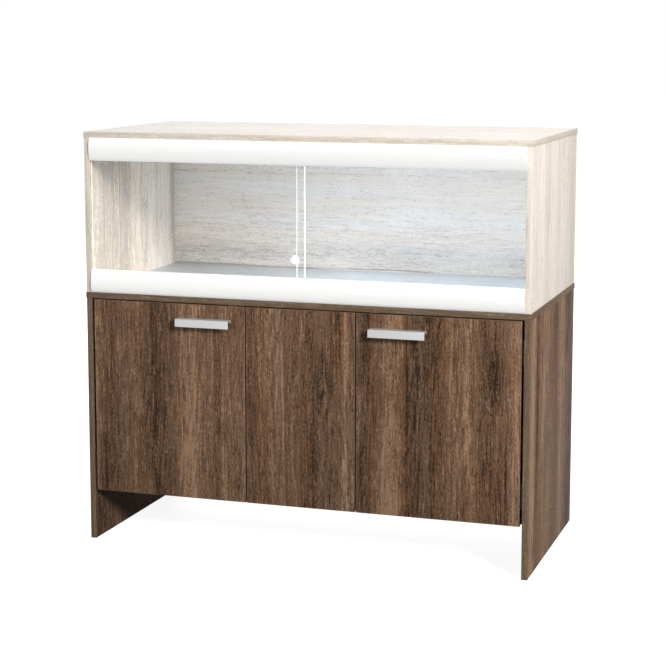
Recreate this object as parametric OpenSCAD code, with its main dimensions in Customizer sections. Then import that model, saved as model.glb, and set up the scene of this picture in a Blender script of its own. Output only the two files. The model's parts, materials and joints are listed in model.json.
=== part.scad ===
// Terrarium cabinet: a glazed vivarium that stands on a cupboard with two doors.
// X runs to the right, Y to the back and Z up. The origin is on the floor, under the middle of the
// outline, handles included.

/* [Whole unit] */
// Width over the side panels
unit_w = 1150; // [1000:10:1400]
// Depth of both units, front edge to rear edge
unit_d = 550; // [450:5:650]
// How far both top panels stand out past the side panels
top_overhang = 2; // [0:0.5:6]
// Distance from the rear edges to the rear faces of both backs
back_inset = 10; // [6:1:20]
// Depth of the grooves that hold the backs
groove_depth = 6; // [4:0.5:7]

/* [Cabinet] */
// Height from the floor to the top of the cabinet
cabinet_h = 645; // [560:5:760]
// Thickness of the cabinet's boards
board_t = 15; // [13:1:18]
// Thickness of the cabinet's back
cabinet_back_t = 3; // [3:0.5:6]
// Height of the doors' lower edges above the floor
door_bottom = 130; // [60:5:200]
// How far the base panel's underside lies above the doors' lower edges
base_lift = 2; // [0:0.5:6]

/* [Doors] */
// Thickness of the doors and of the centre panel
door_t = 15; // [13:1:18]
// Width of the fixed centre panel
centre_panel_w = 283; // [200:1:360]
// Gap over the doors, and between the doors and the centre panel
door_gap = 3; // [2:0.5:5]
// Gap at the hinged edge of each door
hinge_gap = 6; // [5.8:0.2:8]
// Gap between the back of a closed door and the base panel's front edge
door_rest = 2; // [1.4:0.2:4]

/* [Handles] */
// Length of the handle
handle_len = 142; // [120:2:180]
// Height of the handle's front plate
handle_h = 20; // [16:1:28]
// How far the handle stands out from the door
handle_reach = 24; // [18:1:32]
// Thickness of the front plate
handle_plate_t = 3; // [2:0.5:4]
// Thickness of the lip that joins the plate to the door
handle_lip_t = 4; // [3:0.5:5]
// Thickness of the lip's root, where it meets the door
handle_root_t = 8; // [7:0.5:10]
// Radius of the outer corner between lip and plate
handle_corner_r = 2; // [1:0.5:3]
// Bevel on the upright front edges of the plate
handle_bevel = 1; // [0.4:0.1:1.5]
// Distance between the two screws
handle_pitch = 96; // [64:32:96]
// Distance from the door's closing edge to the handle
handle_inset = 36; // [20:1:60]
// Distance from the door's upper edge to the top of the handle
handle_drop = 35; // [24:1:60]
// Diameter of the handle's machine screws
handle_screw_d = 4; // [3:0.5:4]
// How far the screws reach into the handle
handle_screw_bite = 8; // [6:0.5:10]

/* [Hinges] */
// Height of one hinge
hinge_h = 60; // [50:2:80]
// Distance from the door's upper or lower edge to the middle of a hinge
hinge_inset = 75; // [60:5:120]
// Diameter of the hinge's barrel
barrel_d = 5.2; // [4.4:0.1:5.2]
// Diameter of the hinge's pin
hinge_pin_d = 2.5; // [2:0.1:3]
// Radial clearance of the pin in the knuckles
pin_clear = 0.05; // [0.02:0.01:0.1]
// Distance from the front of the cabinet back to the hinge's pin
pivot_setback = 2; // [1:0.1:2]
// Thickness of the hinge's leaves
leaf_t = 1.2; // [1:0.1:1.6]
// Width of the leaf on the side panel
side_leaf_w = 30; // [24:1:40]
// Width of the leaf on the back of the door
door_leaf_w = 22; // [18:1:30]
// Number of knuckles in a hinge
knuckles = 5; // [3:2:7]

/* [Catches] */
// Width of the magnetic catch
catch_w = 44; // [40:1:60]
// Depth of the catch
catch_d = 14; // [12:1:20]
// Height of the catch
catch_h = 14; // [13:1:20]
// Distance from the door's closing edge to the middle of the catch
catch_inset = 40; // [30:1:80]
// Width of the strike plate
strike_w = 30; // [24:1:40]
// Height of the strike plate
strike_h = 9; // [8:0.5:10]
// Thickness of the strike plate
strike_t = 1.2; // [1:0.1:1.6]

/* [Vivarium] */
// Height of the vivarium
vivarium_h = 408; // [340:4:500]
// Thickness of the vivarium's top and sides
shell_t = 15; // [13:1:18]
// Thickness of the vivarium's floor
floor_t = 9; // [8:0.5:12]
// Thickness of the vivarium's back
vivarium_back_t = 6; // [3:0.5:9]
// Distance from the middle to the cable outlet, to the left
outlet_x = 200; // [100:5:300]
// Height of the outlet's middle above the vivarium's floor
outlet_up = 22; // [18:1:60]
// Diameter of the cable outlet's bore
outlet_d = 20; // [16:1:24]
// Wall of the outlet's sleeve
outlet_wall = 2; // [1.5:0.5:3]
// How far the outlet's flange stands out round its sleeve
outlet_flange = 2; // [1.5:0.5:4]

/* [Fascias and glass] */
// Height of each fascia
fascia_h = 58; // [48:1:70]
// How far the middle of a fascia bows forward
fascia_bow = 6; // [2:0.5:9]
// Wall of the fascia
fascia_wall = 1.6; // [1.2:0.1:2]
// Distance from the front of the unit to the first glass channel
channel_setback = 6; // [4:0.5:9]
// Depth of the channels in the lower fascia
lower_channel = 8; // [6:0.5:10]
// Depth of the channels in the upper fascia
upper_channel = 18; // [16:0.5:22]
// Thickness of the glass
glass_t = 4; // [3:0.5:6]
// Gap on each side of the glass in its channel
glass_slip = 0.3; // [0.2:0.05:0.6]
// How far the glass reaches up into the upper fascia
glass_bite = 8; // [5:0.5:10]
// Overlap of the two panes in the middle
glass_overlap = 24; // [16:1:40]
// Gap between a closed pane and the side panel
glass_end_gap = 0.5; // [0.3:0.1:1]

/* [Light bar] */
// Length of the light bar
light_len = 480; // [300:10:500]
// Distance from the right side panel to the light bar
light_inset = 50; // [10:5:80]
// Distance from the front to the light bar
light_setback = 60; // [40:2:120]
// Width of the light bar
light_w = 32; // [26:1:44]
// Height of the light bar's housing
light_h = 14; // [12:1:20]
// Wall of the housing
light_wall = 1.5; // [1.2:0.1:2]
// How far the diffuser hangs below the housing
diffuser_drop = 7; // [4:0.5:10]
// Width of each clip
clip_w = 12; // [10:1:20]
// Thickness of a clip
clip_t = 1.2; // [1:0.1:1.6]

/* [Joinery] */
// Diameter of the dowels
dowel_d = 8; // [6:0.5:8]
// Diameter of the dowels in the vivarium's floor
floor_dowel_d = 5; // [4:0.5:6]
// Depth of a dowel in the edge of a board
dowel_in_edge = 20; // [16:1:25]
// Depth of a dowel in the face of a board
dowel_in_face = 9; // [7:0.5:10]
// Distance from the front or rear edge to the outer dowels
dowel_inset = 50; // [44:1:80]
// Distance from a dowel to the cam beside it
cam_step = 32; // [24:1:48]
// Diameter of a cam
cam_d = 15; // [12:0.5:15]
// Distance from the joint to the middle of the cam
cam_set = 34; // [24:1:40]
// Board left under a cam
cam_floor = 3; // [2:0.5:4]
// Diameter of a cam bolt
bolt_d = 6; // [5:0.5:6]
// Depth of a cam bolt's thread in the face of a board
bolt_bite = 9; // [7:0.5:10]
// Diameter of a wood screw
screw_d = 3; // [2.5:0.1:3.5]
// Diameter of a wood screw's head
screw_head_d = 5.8; // [5:0.1:6.4]
// How deep a wood screw goes into the board
screw_bite = 10; // [8:0.5:11]
// Clearance round dowels, bolts and screws
fit_gap = 0.05; // [0.03:0.01:0.1]

/* [Hidden] */
$fn = 48;

walnut = "saddlebrown";
oak = "wheat";
past = 1;
half_w = unit_w / 2;
front_y = (handle_reach - unit_d) / 2;
rear_y = front_y + unit_d;
inner_x = half_w - board_t;
shell_x = half_w - shell_t;
groove_slip = 0.1;
groove_end = 0.5;

// Heights in the cabinet
top_under = cabinet_h - board_t;
door_top = top_under - door_gap;
base_z = door_bottom + base_lift;
base_top = base_z + board_t;

// Depths in the cabinet
door_back_y = front_y + door_t;
base_front_y = door_back_y + door_rest;
back_y = rear_y - back_inset - cabinet_back_t;

// Edges of the right door
door_in_x = centre_panel_w / 2 + door_gap;
door_out_x = inner_x - hinge_gap;

// Places of what the doors carry
handle_x = door_in_x + handle_inset;
handle_top = door_top - handle_drop;
handle_screw_z = handle_top - handle_root_t / 2;
handle_screw_room = 0.5;
handle_head_rim = 1.75;
handle_head_h = 2.4;
pivot_x = inner_x - hinge_gap / 2;
pivot_y = front_y + pivot_setback;
barrel_r = barrel_d / 2;
knuckle_step = hinge_h / knuckles;
knuckle_gap = 0.3;
hinge_levels = [door_bottom + hinge_inset, door_top - hinge_inset];
leaf_start = barrel_r + knuckle_gap;
door_back_u = door_t - pivot_setback;
magnet_gap = 0.3;
catch_x = door_in_x + catch_inset;
catch_y = door_back_y + strike_t + magnet_gap;
strike_drop = 1;
strike_top = door_top - strike_drop;

// Heights and depths in the vivarium
lid_z = cabinet_h + vivarium_h;
lid_under = lid_z - shell_t;
floor_top = cabinet_h + floor_t;
shell_back_y = rear_y - back_inset - vivarium_back_t;
channel_w = glass_t + 2 * glass_slip;
rear_channel = channel_setback + channel_w + fascia_wall;
fascia_d = rear_channel + channel_w + fascia_wall;
bow_lean = 0.8;
bow_fullness = 0.7;
floor_front_y = front_y + fascia_d;
outlet_z = floor_top + outlet_up;
sleeve_r = outlet_d / 2 + outlet_wall;

// Glass panes
pane_bottom = cabinet_h + fascia_h - lower_channel + glass_slip;
pane_top = lid_under - fascia_h + glass_bite;
left_pane_y = front_y + channel_setback + glass_slip;
right_pane_y = front_y + rear_channel + glass_slip;
pane_end_x = shell_x - glass_end_gap;

// Fascia blocks
block_len = 14;
block_slip = 0.1;

// Light bar
light_x1 = shell_x - light_inset;
light_x0 = light_x1 - light_len;
light_x = (light_x0 + light_x1) / 2;
light_y = front_y + light_setback;
light_top = lid_under - clip_t;
light_bottom = light_top - light_h;
light_mid_y = light_y + light_w / 2;
cap_t = 3;
clip_slip = 0.1;
clip_jaw = 8.4;
led_board_t = 1.6;
led_board_room = 1;
led_pitch = 30;
led_w = 5;
led_t = 1;

// Joint positions along the depth
dowel_ys = [front_y + dowel_inset, rear_y - dowel_inset];
cam_ys = [front_y + dowel_inset + cam_step, rear_y - dowel_inset - cam_step];
cam_depth = board_t - cam_floor;
bolt_head_l = 2.5;
bolt_thread_step = 0.5;
shell_cam_depth = shell_t - cam_floor;

// Seats and lengths of the wood screws
catch_ear_t = 3;
catch_ear_setback = 2;
catch_ear_z = top_under - catch_ear_t;
lower_block_z = cabinet_h + (fascia_h - lower_channel) / 2;
upper_block_z = lid_under - (fascia_h - upper_channel) / 2;
screw_reach_leaf = leaf_t + screw_bite;
screw_reach_strike = strike_t + screw_bite;
screw_reach_catch = catch_ear_t + screw_bite;
screw_reach_block = block_len + screw_bite;
screw_reach_clip = clip_t + screw_bite;

// A plain board or block between two corners.
module block(low, high) {
  translate(low) cube(high - low);
}

// The same thing on the right, or mirrored on the left.
module on_side(side) {
  if (side < 0) mirror([1, 0, 0]) children();
  else children();
}

// A profile drawn in Y and Z, drawn out along X.
module along_x(x0, x1) {
  translate([x0, 0, 0]) rotate([90, 0, 90]) linear_extrude(x1 - x0) children();
}

function arc(centre, r, from, to, steps) = [
  for (i = [0 : steps]) let (a = from + (to - from) * i / steps)
    [centre.x + r * cos(a), centre.y + r * sin(a)]
];

// ---- Fasteners, drawn once and used again as the cutter for their holes ----

// Countersunk wood screw. Its head is flush with z = 0 and its shaft points down.
module wood_screw(reach, clear = 0) {
  r = screw_d / 2 + clear;
  head_r = screw_head_d / 2 + clear;
  head_rim = 0.2;
  over = clear > 0 ? past : 0;
  rotate_extrude() polygon([
    [0, over], [head_r, over], [head_r, -head_rim], [r, -head_rim - (head_r - r)],
    [r, -reach + r], [0, -reach - clear]
  ]);
}

// Dowel with chamfered ends. z = 0 is the joint; it goes down into the edge and up into the face.
module dowel(d, clear = 0) {
  r = d / 2 + clear;
  low = -dowel_in_edge - clear;
  high = dowel_in_face + clear;
  chamfer = 1;
  rotate_extrude() polygon([
    [0, low], [r - chamfer, low], [r, low + chamfer],
    [r, high - chamfer], [r - chamfer, high], [0, high]
  ]);
}

// Cam bolt. z = 0 is the joint; the thread goes up into the face, the head down to the cam.
module cam_bolt() {
  r = bolt_d / 2;
  thread_r = r - bolt_thread_step;
  neck_r = r - 1.2;
  neck_l = 4;
  shoulder_l = 2;
  rotate_extrude() polygon([
    [0, -cam_set - bolt_head_l], [thread_r, -cam_set - bolt_head_l], [thread_r, -cam_set],
    [neck_r, -cam_set], [neck_r, -cam_set + neck_l], [r, -cam_set + neck_l + shoulder_l], [r, 0],
    [thread_r, 0], [thread_r, bolt_bite], [0, bolt_bite]
  ]);
}

// The drilling that a cam bolt lies in: full width all the way to the cam.
module bolt_hole() {
  r = bolt_d / 2 + fit_gap;
  translate([0, 0, -cam_set - bolt_head_l - past]) cylinder(h = cam_set + bolt_head_l + past, r = r);
  cylinder(h = bolt_bite + fit_gap, r = r - bolt_thread_step);
}

// Cam housing. Its open face is at z = 0 and it goes down into the board.
// The bolt comes in along +X, at mid_depth below the face.
module cam(depth, mid_depth) {
  slot_reach = cam_d / 3;
  slot_half = 0.6;
  slot_depth = 1.6;
  difference() {
    translate([0, 0, -depth + fit_gap]) cylinder(h = depth - fit_gap, r = cam_d / 2 - fit_gap);
    translate([-bolt_head_l - past, 0, -mid_depth]) rotate([0, 90, 0])
      cylinder(h = cam_d, r = bolt_d / 2 + 2 * fit_gap);
    for (turn = [0, 90]) rotate(turn)
      block([-slot_reach, -slot_half, -slot_depth], [slot_reach, slot_half, past]);
  }
}

// Machine screw for a handle. Its head lies under z = 0 and its shaft points up.
module handle_screw() {
  r = handle_screw_d / 2;
  head_r = r + handle_head_rim;
  bevel = 0.6;
  reach = door_t + handle_screw_bite;
  rotate_extrude() polygon([
    [0, -handle_head_h], [head_r - bevel, -handle_head_h], [head_r, -handle_head_h + bevel],
    [head_r, 0], [r, 0], [r, reach], [0, reach]
  ]);
}

// ---- Where the fasteners go. Each module places its children; all are for the right side ----

module at_cabinet_top_dowels() {
  for (y = dowel_ys) translate([half_w - board_t / 2, y, top_under]) children();
}

module at_cabinet_top_bolts() {
  for (y = cam_ys) translate([half_w - board_t / 2, y, top_under]) children();
}

module at_base_dowels() {
  for (y = dowel_ys) translate([inner_x, y, base_z + board_t / 2]) rotate([0, 90, 0]) children();
}

module at_base_bolts() {
  for (y = cam_ys) translate([inner_x, y, base_z + board_t / 2]) rotate([0, 90, 0]) children();
}

module at_divider_top_dowels() {
  for (y = dowel_ys) translate([0, y, top_under]) children();
}

module at_divider_base_dowels() {
  for (y = dowel_ys) translate([0, y, base_top]) rotate([180, 0, 0]) children();
}

module at_centre_panel_dowels() {
  for (z = [hinge_levels[0], (hinge_levels[0] + hinge_levels[1]) / 2, hinge_levels[1]])
    translate([0, door_back_y, z]) rotate([90, 0, 0]) children();
}

module at_lid_dowels() {
  for (y = dowel_ys) translate([half_w - shell_t / 2, y, lid_under]) children();
}

module at_lid_bolts() {
  for (y = cam_ys) translate([half_w - shell_t / 2, y, lid_under]) children();
}

module at_floor_dowels() {
  for (y = concat(dowel_ys, [(front_y + rear_y) / 2]))
    translate([shell_x, y, cabinet_h + floor_t / 2]) rotate([0, 90, 0]) children();
}

// Cams in the inner face of a side: the bolt comes down from the top.
module at_side_cams(face_x, under) {
  for (y = cam_ys) translate([face_x, y, under - cam_set]) rotate([0, -90, 0]) children();
}

// Cams in the underside of the base: the bolt comes in from the side.
module at_base_cams() {
  for (y = cam_ys) translate([inner_x - cam_set, y, base_z]) rotate([180, 0, 0]) children();
}

module at_side_leaf_screws() {
  for (z = hinge_levels, i = [-1 : 1])
    translate([
      inner_x - leaf_t,
      pivot_y + (leaf_start + side_leaf_w) / 2 + abs(i) * side_leaf_w / 6,
      z + i * hinge_h / 3
    ]) rotate([0, -90, 0]) children();
}

module at_door_leaf_screws() {
  for (z = hinge_levels, i = [-1, 1])
    translate([door_out_x - door_leaf_w / 2, door_back_y + leaf_t, z + i * hinge_h / 4])
      rotate([-90, 0, 0]) children();
}

module at_strike_screw() {
  translate([catch_x, door_back_y + strike_t, strike_top - strike_h / 2])
    rotate([-90, 0, 0]) children();
}

module at_catch_screws() {
  for (i = [-1, 1])
    translate([catch_x + i * (catch_w / 2 - screw_head_d), catch_y + catch_d / 2, catch_ear_z])
      rotate([180, 0, 0]) children();
}

module at_handle_screws() {
  for (i = [-1, 1])
    translate([handle_x + handle_len / 2 + i * handle_pitch / 2, door_back_y, handle_screw_z])
      rotate([90, 0, 0]) children();
}

// The blocks' screws go sideways into the side panels.
module at_block_screws() {
  for (z = [lower_block_z, upper_block_z])
    translate([shell_x - block_len, front_y + fascia_d / 2, z]) rotate([0, -90, 0]) children();
}

module at_clips() {
  for (i = [-1, 1]) translate([light_x + i * light_len / 4, light_mid_y, light_top]) children();
}

// ---- Cabinet ----

module cabinet_top_panel() {
  color(walnut) difference() {
    block([-half_w - top_overhang, front_y, top_under], [half_w + top_overhang, rear_y, cabinet_h]);
    block(
      [-inner_x - groove_depth, back_y - groove_slip, top_under - past],
      [inner_x + groove_depth, back_y + cabinet_back_t + groove_slip, top_under + groove_depth]
    );
    for (side = [-1, 1]) on_side(side) {
      at_cabinet_top_dowels() dowel(dowel_d, fit_gap);
      at_cabinet_top_bolts() bolt_hole();
      at_catch_screws() wood_screw(screw_reach_catch, fit_gap);
    }
    at_divider_top_dowels() dowel(dowel_d, fit_gap);
  }
}

module cabinet_side(side) {
  color(walnut) on_side(side) difference() {
    block([inner_x, front_y, 0], [half_w, rear_y, top_under]);
    block(
      [inner_x - past, back_y - groove_slip, -past],
      [inner_x + groove_depth, back_y + cabinet_back_t + groove_slip, top_under + past]
    );
    at_cabinet_top_dowels() dowel(dowel_d, fit_gap);
    at_cabinet_top_bolts() bolt_hole();
    at_side_cams(inner_x, top_under)
      translate([0, 0, -cam_depth]) cylinder(h = cam_depth + past, r = cam_d / 2);
    at_base_dowels() dowel(dowel_d, fit_gap);
    at_base_bolts() bolt_hole();
    at_side_leaf_screws() wood_screw(screw_reach_leaf, fit_gap);
  }
}

module cabinet_base_panel() {
  color(walnut) difference() {
    block([-inner_x, base_front_y, base_z], [inner_x, back_y, base_top]);
    for (side = [-1, 1]) on_side(side) {
      at_base_dowels() dowel(dowel_d, fit_gap);
      at_base_bolts() bolt_hole();
      at_base_cams() translate([0, 0, -cam_depth]) cylinder(h = cam_depth + past, r = cam_d / 2);
    }
    at_divider_base_dowels() dowel(dowel_d, fit_gap);
  }
}

module cabinet_back_panel() {
  reach = inner_x + groove_depth - groove_end;
  color("tan") block(
    [-reach, back_y, base_z],
    [reach, back_y + cabinet_back_t, top_under + groove_depth - groove_end]
  );
}

module cabinet_centre_divider() {
  color(walnut) difference() {
    block([-board_t / 2, door_back_y, base_top], [board_t / 2, back_y, top_under]);
    at_divider_top_dowels() dowel(dowel_d, fit_gap);
    at_divider_base_dowels() dowel(dowel_d, fit_gap);
    at_centre_panel_dowels() dowel(dowel_d, fit_gap);
  }
}

module cabinet_centre_panel() {
  color(walnut) difference() {
    block([-centre_panel_w / 2, front_y, door_bottom], [centre_panel_w / 2, door_back_y, door_top]);
    at_centre_panel_dowels() dowel(dowel_d, fit_gap);
  }
}

module door(side) {
  color(walnut) on_side(side) difference() {
    block([door_in_x, front_y, door_bottom], [door_out_x, door_back_y, door_top]);
    at_handle_screws() cylinder(h = door_t * 3, r = handle_screw_d / 2 + 4 * fit_gap, center = true);
    at_door_leaf_screws() wood_screw(screw_reach_leaf, fit_gap);
    at_strike_screw() wood_screw(screw_reach_strike, fit_gap);
  }
}

// Drawn pull: a lip that comes out of the door and a plate that hangs from its front edge.
function handle_profile() = let (
  r = handle_corner_r,
  tip = 0.8,
  fillet = 1.5,
  root_len = handle_screw_bite / 2,
  taper_len = 5.6,
  plate_back = -handle_reach + handle_plate_t
) concat(
  [[0, 0]],
  arc([-handle_reach + r, -r], r, 90, 180, 6),
  arc([-handle_reach + tip, -handle_h + tip], tip, 180, 270, 3),
  arc([plate_back - tip, -handle_h + tip], tip, 270, 360, 3),
  arc([plate_back + fillet, -handle_lip_t - fillet], fillet, 180, 90, 4),
  [[-root_len - taper_len, -handle_lip_t], [-root_len, -handle_root_t], [0, -handle_root_t]]
);

// The handle seen from above: a bar whose upright front edges are bevelled.
function handle_plan() = let (x0 = handle_x, x1 = handle_x + handle_len, b = handle_bevel) [
  [x0, past], [x0, -handle_reach + b], [x0 + b, -handle_reach],
  [x1 - b, -handle_reach], [x1, -handle_reach + b], [x1, past]
];

module handle(side) {
  color("silver") on_side(side) difference() {
    translate([0, front_y, handle_top]) intersection() {
      along_x(handle_x, handle_x + handle_len) polygon(handle_profile());
      translate([0, 0, -handle_h - past]) linear_extrude(handle_h + 2 * past) polygon(handle_plan());
    }
    at_handle_screws() cylinder(
      h = door_t + handle_screw_bite + handle_screw_room,
      r = handle_screw_d / 2 + fit_gap
    );
  }
}

module handle_screws(side) {
  color("gainsboro") on_side(side) at_handle_screws() handle_screw();
}

// ---- Hinges, drawn about the pin of the right-hand hinge ----

module at_hinge(side, level) {
  on_side(side) translate([pivot_x, pivot_y, hinge_levels[level]]) children();
}

module knuckle(i) {
  low = -hinge_h / 2 + i * knuckle_step + knuckle_gap / 2;
  translate([0, 0, low]) cylinder(h = knuckle_step - knuckle_gap, r = barrel_r);
}

// The strap that joins knuckle i to its leaf, which lies edge away from the pin.
module knuckle_strap(i, edge) {
  low = -hinge_h / 2 + i * knuckle_step + knuckle_gap / 2;
  high = low + knuckle_step - knuckle_gap;
  web_y = barrel_r - leaf_t;
  block([min(0, edge), web_y, low], [max(0, edge), barrel_r, high]);
  leaf_x = edge > 0 ? edge - leaf_t : edge;
  block([leaf_x, web_y, low], [leaf_x + leaf_t, leaf_start + past, high]);
}

module pin_bore() {
  cylinder(h = hinge_h + 2 * past, r = hinge_pin_d / 2 + pin_clear, center = true);
}

module hinge_side_leaf(side, level) {
  face = hinge_gap / 2;
  color("dimgray") difference() {
    at_hinge(side, level) difference() {
      union() {
        block([face - leaf_t, leaf_start, -hinge_h / 2], [face, side_leaf_w, hinge_h / 2]);
        for (i = [0 : 2 : knuckles - 1]) {
          knuckle(i);
          knuckle_strap(i, face);
        }
      }
      pin_bore();
    }
    on_side(side) at_side_leaf_screws() wood_screw(screw_reach_leaf, fit_gap);
  }
}

module hinge_door_leaf(side, level) {
  face = -hinge_gap / 2;
  color("dimgray") difference() {
    at_hinge(side, level) difference() {
      union() {
        block([face, leaf_start, -hinge_h / 2], [face + leaf_t, door_back_u + leaf_t, hinge_h / 2]);
        block(
          [face - door_leaf_w, door_back_u, -hinge_h / 2],
          [face + leaf_t, door_back_u + leaf_t, hinge_h / 2]
        );
        for (i = [1 : 2 : knuckles - 2]) {
          knuckle(i);
          knuckle_strap(i, face);
        }
      }
      pin_bore();
    }
    on_side(side) at_door_leaf_screws() wood_screw(screw_reach_leaf, fit_gap);
  }
}

module hinge_pin(side, level) {
  head_r = barrel_r - 0.4;
  head_h = 1;
  head_taper = 0.5;
  color("gray") at_hinge(side, level) {
    cylinder(h = hinge_h, r = hinge_pin_d / 2, center = true);
    for (flip = [0, 1]) mirror([0, 0, flip])
      translate([0, 0, hinge_h / 2]) cylinder(h = head_h, r1 = head_r, r2 = head_r - head_taper);
  }
}

// ---- Catches ----

module catch(side) {
  magnet_x = catch_w / 2 - 2 * screw_head_d;
  color("white") on_side(side) difference() {
    union() {
      block(
        [catch_x - catch_w / 2, catch_y + catch_ear_setback, top_under - catch_ear_t],
        [catch_x + catch_w / 2, catch_y + catch_d, top_under]
      );
      block(
        [catch_x - magnet_x, catch_y, top_under - catch_h],
        [catch_x + magnet_x, catch_y + catch_d, top_under]
      );
    }
    at_catch_screws() wood_screw(screw_reach_catch, fit_gap);
  }
}

module strike_plate(side) {
  color("silver") on_side(side) difference() {
    block(
      [catch_x - strike_w / 2, door_back_y, strike_top - strike_h],
      [catch_x + strike_w / 2, door_back_y + strike_t, strike_top]
    );
    at_strike_screw() wood_screw(screw_reach_strike, fit_gap);
  }
}

// ---- The cabinet's fasteners ----

module door_screws(side) {
  color("gainsboro") on_side(side) {
    at_door_leaf_screws() wood_screw(screw_reach_leaf);
    at_strike_screw() wood_screw(screw_reach_strike);
  }
}

module cabinet_screws() {
  color("gainsboro") for (side = [-1, 1]) on_side(side) {
    at_side_leaf_screws() wood_screw(screw_reach_leaf);
    at_catch_screws() wood_screw(screw_reach_catch);
  }
}

module cabinet_dowels() {
  color("burlywood") {
    for (side = [-1, 1]) on_side(side) {
      at_cabinet_top_dowels() dowel(dowel_d);
      at_base_dowels() dowel(dowel_d);
    }
    at_divider_top_dowels() dowel(dowel_d);
    at_divider_base_dowels() dowel(dowel_d);
    at_centre_panel_dowels() dowel(dowel_d);
  }
}

module cabinet_cams() {
  color("silver") for (side = [-1, 1]) on_side(side) {
    at_side_cams(inner_x, top_under) cam(cam_depth, board_t / 2);
    at_base_cams() cam(cam_depth, board_t / 2);
  }
}

module cabinet_cam_bolts() {
  color("silver") for (side = [-1, 1]) on_side(side) {
    at_cabinet_top_bolts() cam_bolt();
    at_base_bolts() cam_bolt();
  }
}

// ---- Vivarium ----

module vivarium_top_panel() {
  color(oak) difference() {
    block([-half_w - top_overhang, front_y, lid_under], [half_w + top_overhang, rear_y, lid_z]);
    block(
      [-shell_x - groove_depth, shell_back_y - groove_slip, lid_under - past],
      [shell_x + groove_depth, shell_back_y + vivarium_back_t + groove_slip, lid_under + groove_depth]
    );
    for (side = [-1, 1]) on_side(side) {
      at_lid_dowels() dowel(dowel_d, fit_gap);
      at_lid_bolts() bolt_hole();
    }
    at_clips() rotate([180, 0, 0]) wood_screw(screw_reach_clip, fit_gap);
  }
}

module vivarium_side(side) {
  color(oak) on_side(side) difference() {
    block([shell_x, front_y, cabinet_h], [half_w, rear_y, lid_under]);
    block(
      [shell_x - past, shell_back_y - groove_slip, cabinet_h - past],
      [shell_x + groove_depth, shell_back_y + vivarium_back_t + groove_slip, lid_under + past]
    );
    at_lid_dowels() dowel(dowel_d, fit_gap);
    at_lid_bolts() bolt_hole();
    at_side_cams(shell_x, lid_under)
      translate([0, 0, -shell_cam_depth]) cylinder(h = shell_cam_depth + past, r = cam_d / 2);
    at_floor_dowels() dowel(floor_dowel_d, fit_gap);
    at_block_screws() wood_screw(screw_reach_block, fit_gap);
  }
}

module vivarium_floor_panel() {
  color("lightgray") difference() {
    block([-shell_x, floor_front_y, cabinet_h], [shell_x, shell_back_y, floor_top]);
    for (side = [-1, 1]) on_side(side) at_floor_dowels() dowel(floor_dowel_d, fit_gap);
  }
}

module vivarium_back_panel() {
  reach = shell_x + groove_depth - groove_end;
  color(oak) difference() {
    block(
      [-reach, shell_back_y, cabinet_h],
      [reach, shell_back_y + vivarium_back_t, lid_under + groove_depth - groove_end]
    );
    translate([-outlet_x, shell_back_y, outlet_z]) rotate([-90, 0, 0])
      translate([0, 0, -past]) cylinder(h = vivarium_back_t + 2 * past, r = sleeve_r + fit_gap);
  }
}

// Sleeve through the back, with a flange on the inside and a short stub behind.
module cable_grommet() {
  flange_t = 1.6;
  flange_r = sleeve_r + outlet_flange;
  rim = 0.8;
  stub = 2;
  bore_r = outlet_d / 2;
  color("white") translate([-outlet_x, shell_back_y, outlet_z]) rotate([-90, 0, 0])
    rotate_extrude() polygon([
      [bore_r, -flange_t], [flange_r - rim, -flange_t], [flange_r, -flange_t + rim], [flange_r, 0],
      [sleeve_r, 0], [sleeve_r, vivarium_back_t + stub], [bore_r, vivarium_back_t + stub]
    ]);
}

// Front line of a fascia from its outer lip, v = 0, to the glass edge, v = fascia_h:
// a flat lip, a quick swell, and a long fall towards the glass.
function fascia_front(v, inset) = let (t = v / fascia_h)
  -fascia_bow * pow(sin(180 * pow(t, bow_lean)), bow_fullness) + inset;

// Section of the fascia. The channels open at v = fascia_h, where the glass is.
module fascia_section(channel) {
  steps = 16;
  inner_top = fascia_h - channel - fascia_wall;
  difference() {
    polygon(concat(
      [for (i = [0 : steps]) [fascia_front(fascia_h * i / steps, 0), fascia_h * i / steps]],
      [[fascia_d, fascia_h], [fascia_d, 0]]
    ));
    polygon(concat(
      [for (i = [0 : steps]) let (v = fascia_wall + (inner_top - fascia_wall) * i / steps)
        [fascia_front(v, fascia_wall), v]],
      [[fascia_d - fascia_wall, inner_top], [fascia_d - fascia_wall, fascia_wall]]
    ));
    for (u = [channel_setback, rear_channel])
      translate([u, fascia_h - channel]) square([channel_w, channel + past]);
  }
}

module bottom_fascia() {
  color("whitesmoke") translate([0, front_y, cabinet_h])
    along_x(-shell_x, shell_x) fascia_section(lower_channel);
}

module top_fascia() {
  color("whitesmoke") translate([0, front_y, lid_under])
    along_x(-shell_x, shell_x) mirror([0, 1]) fascia_section(upper_channel);
}

// Plugs in the fascias' open ends, each screwed to the side panel beside it.
module fascia_block(z, room) {
  tall = room / 2 - fascia_wall - block_slip;
  low_y = front_y + fascia_wall + block_slip;
  high_y = front_y + fascia_d - fascia_wall - block_slip;
  block([shell_x - block_len, low_y, z - tall], [shell_x, high_y, z + tall]);
}

module fascia_blocks() {
  color("lightgray") for (side = [-1, 1]) on_side(side) difference() {
    union() {
      fascia_block(lower_block_z, fascia_h - lower_channel);
      fascia_block(upper_block_z, fascia_h - upper_channel);
    }
    at_block_screws() wood_screw(screw_reach_block, fit_gap);
  }
}

module left_glass() {
  color("lightcyan", 0.4) block(
    [-pane_end_x, left_pane_y, pane_bottom],
    [glass_overlap / 2, left_pane_y + glass_t, pane_top]
  );
}

module right_glass() {
  color("lightcyan", 0.4) block(
    [-glass_overlap / 2, right_pane_y, pane_bottom],
    [pane_end_x, right_pane_y + glass_t, pane_top]
  );
}

// ---- Light bar, under the top panel and behind the upper fascia ----

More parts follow.
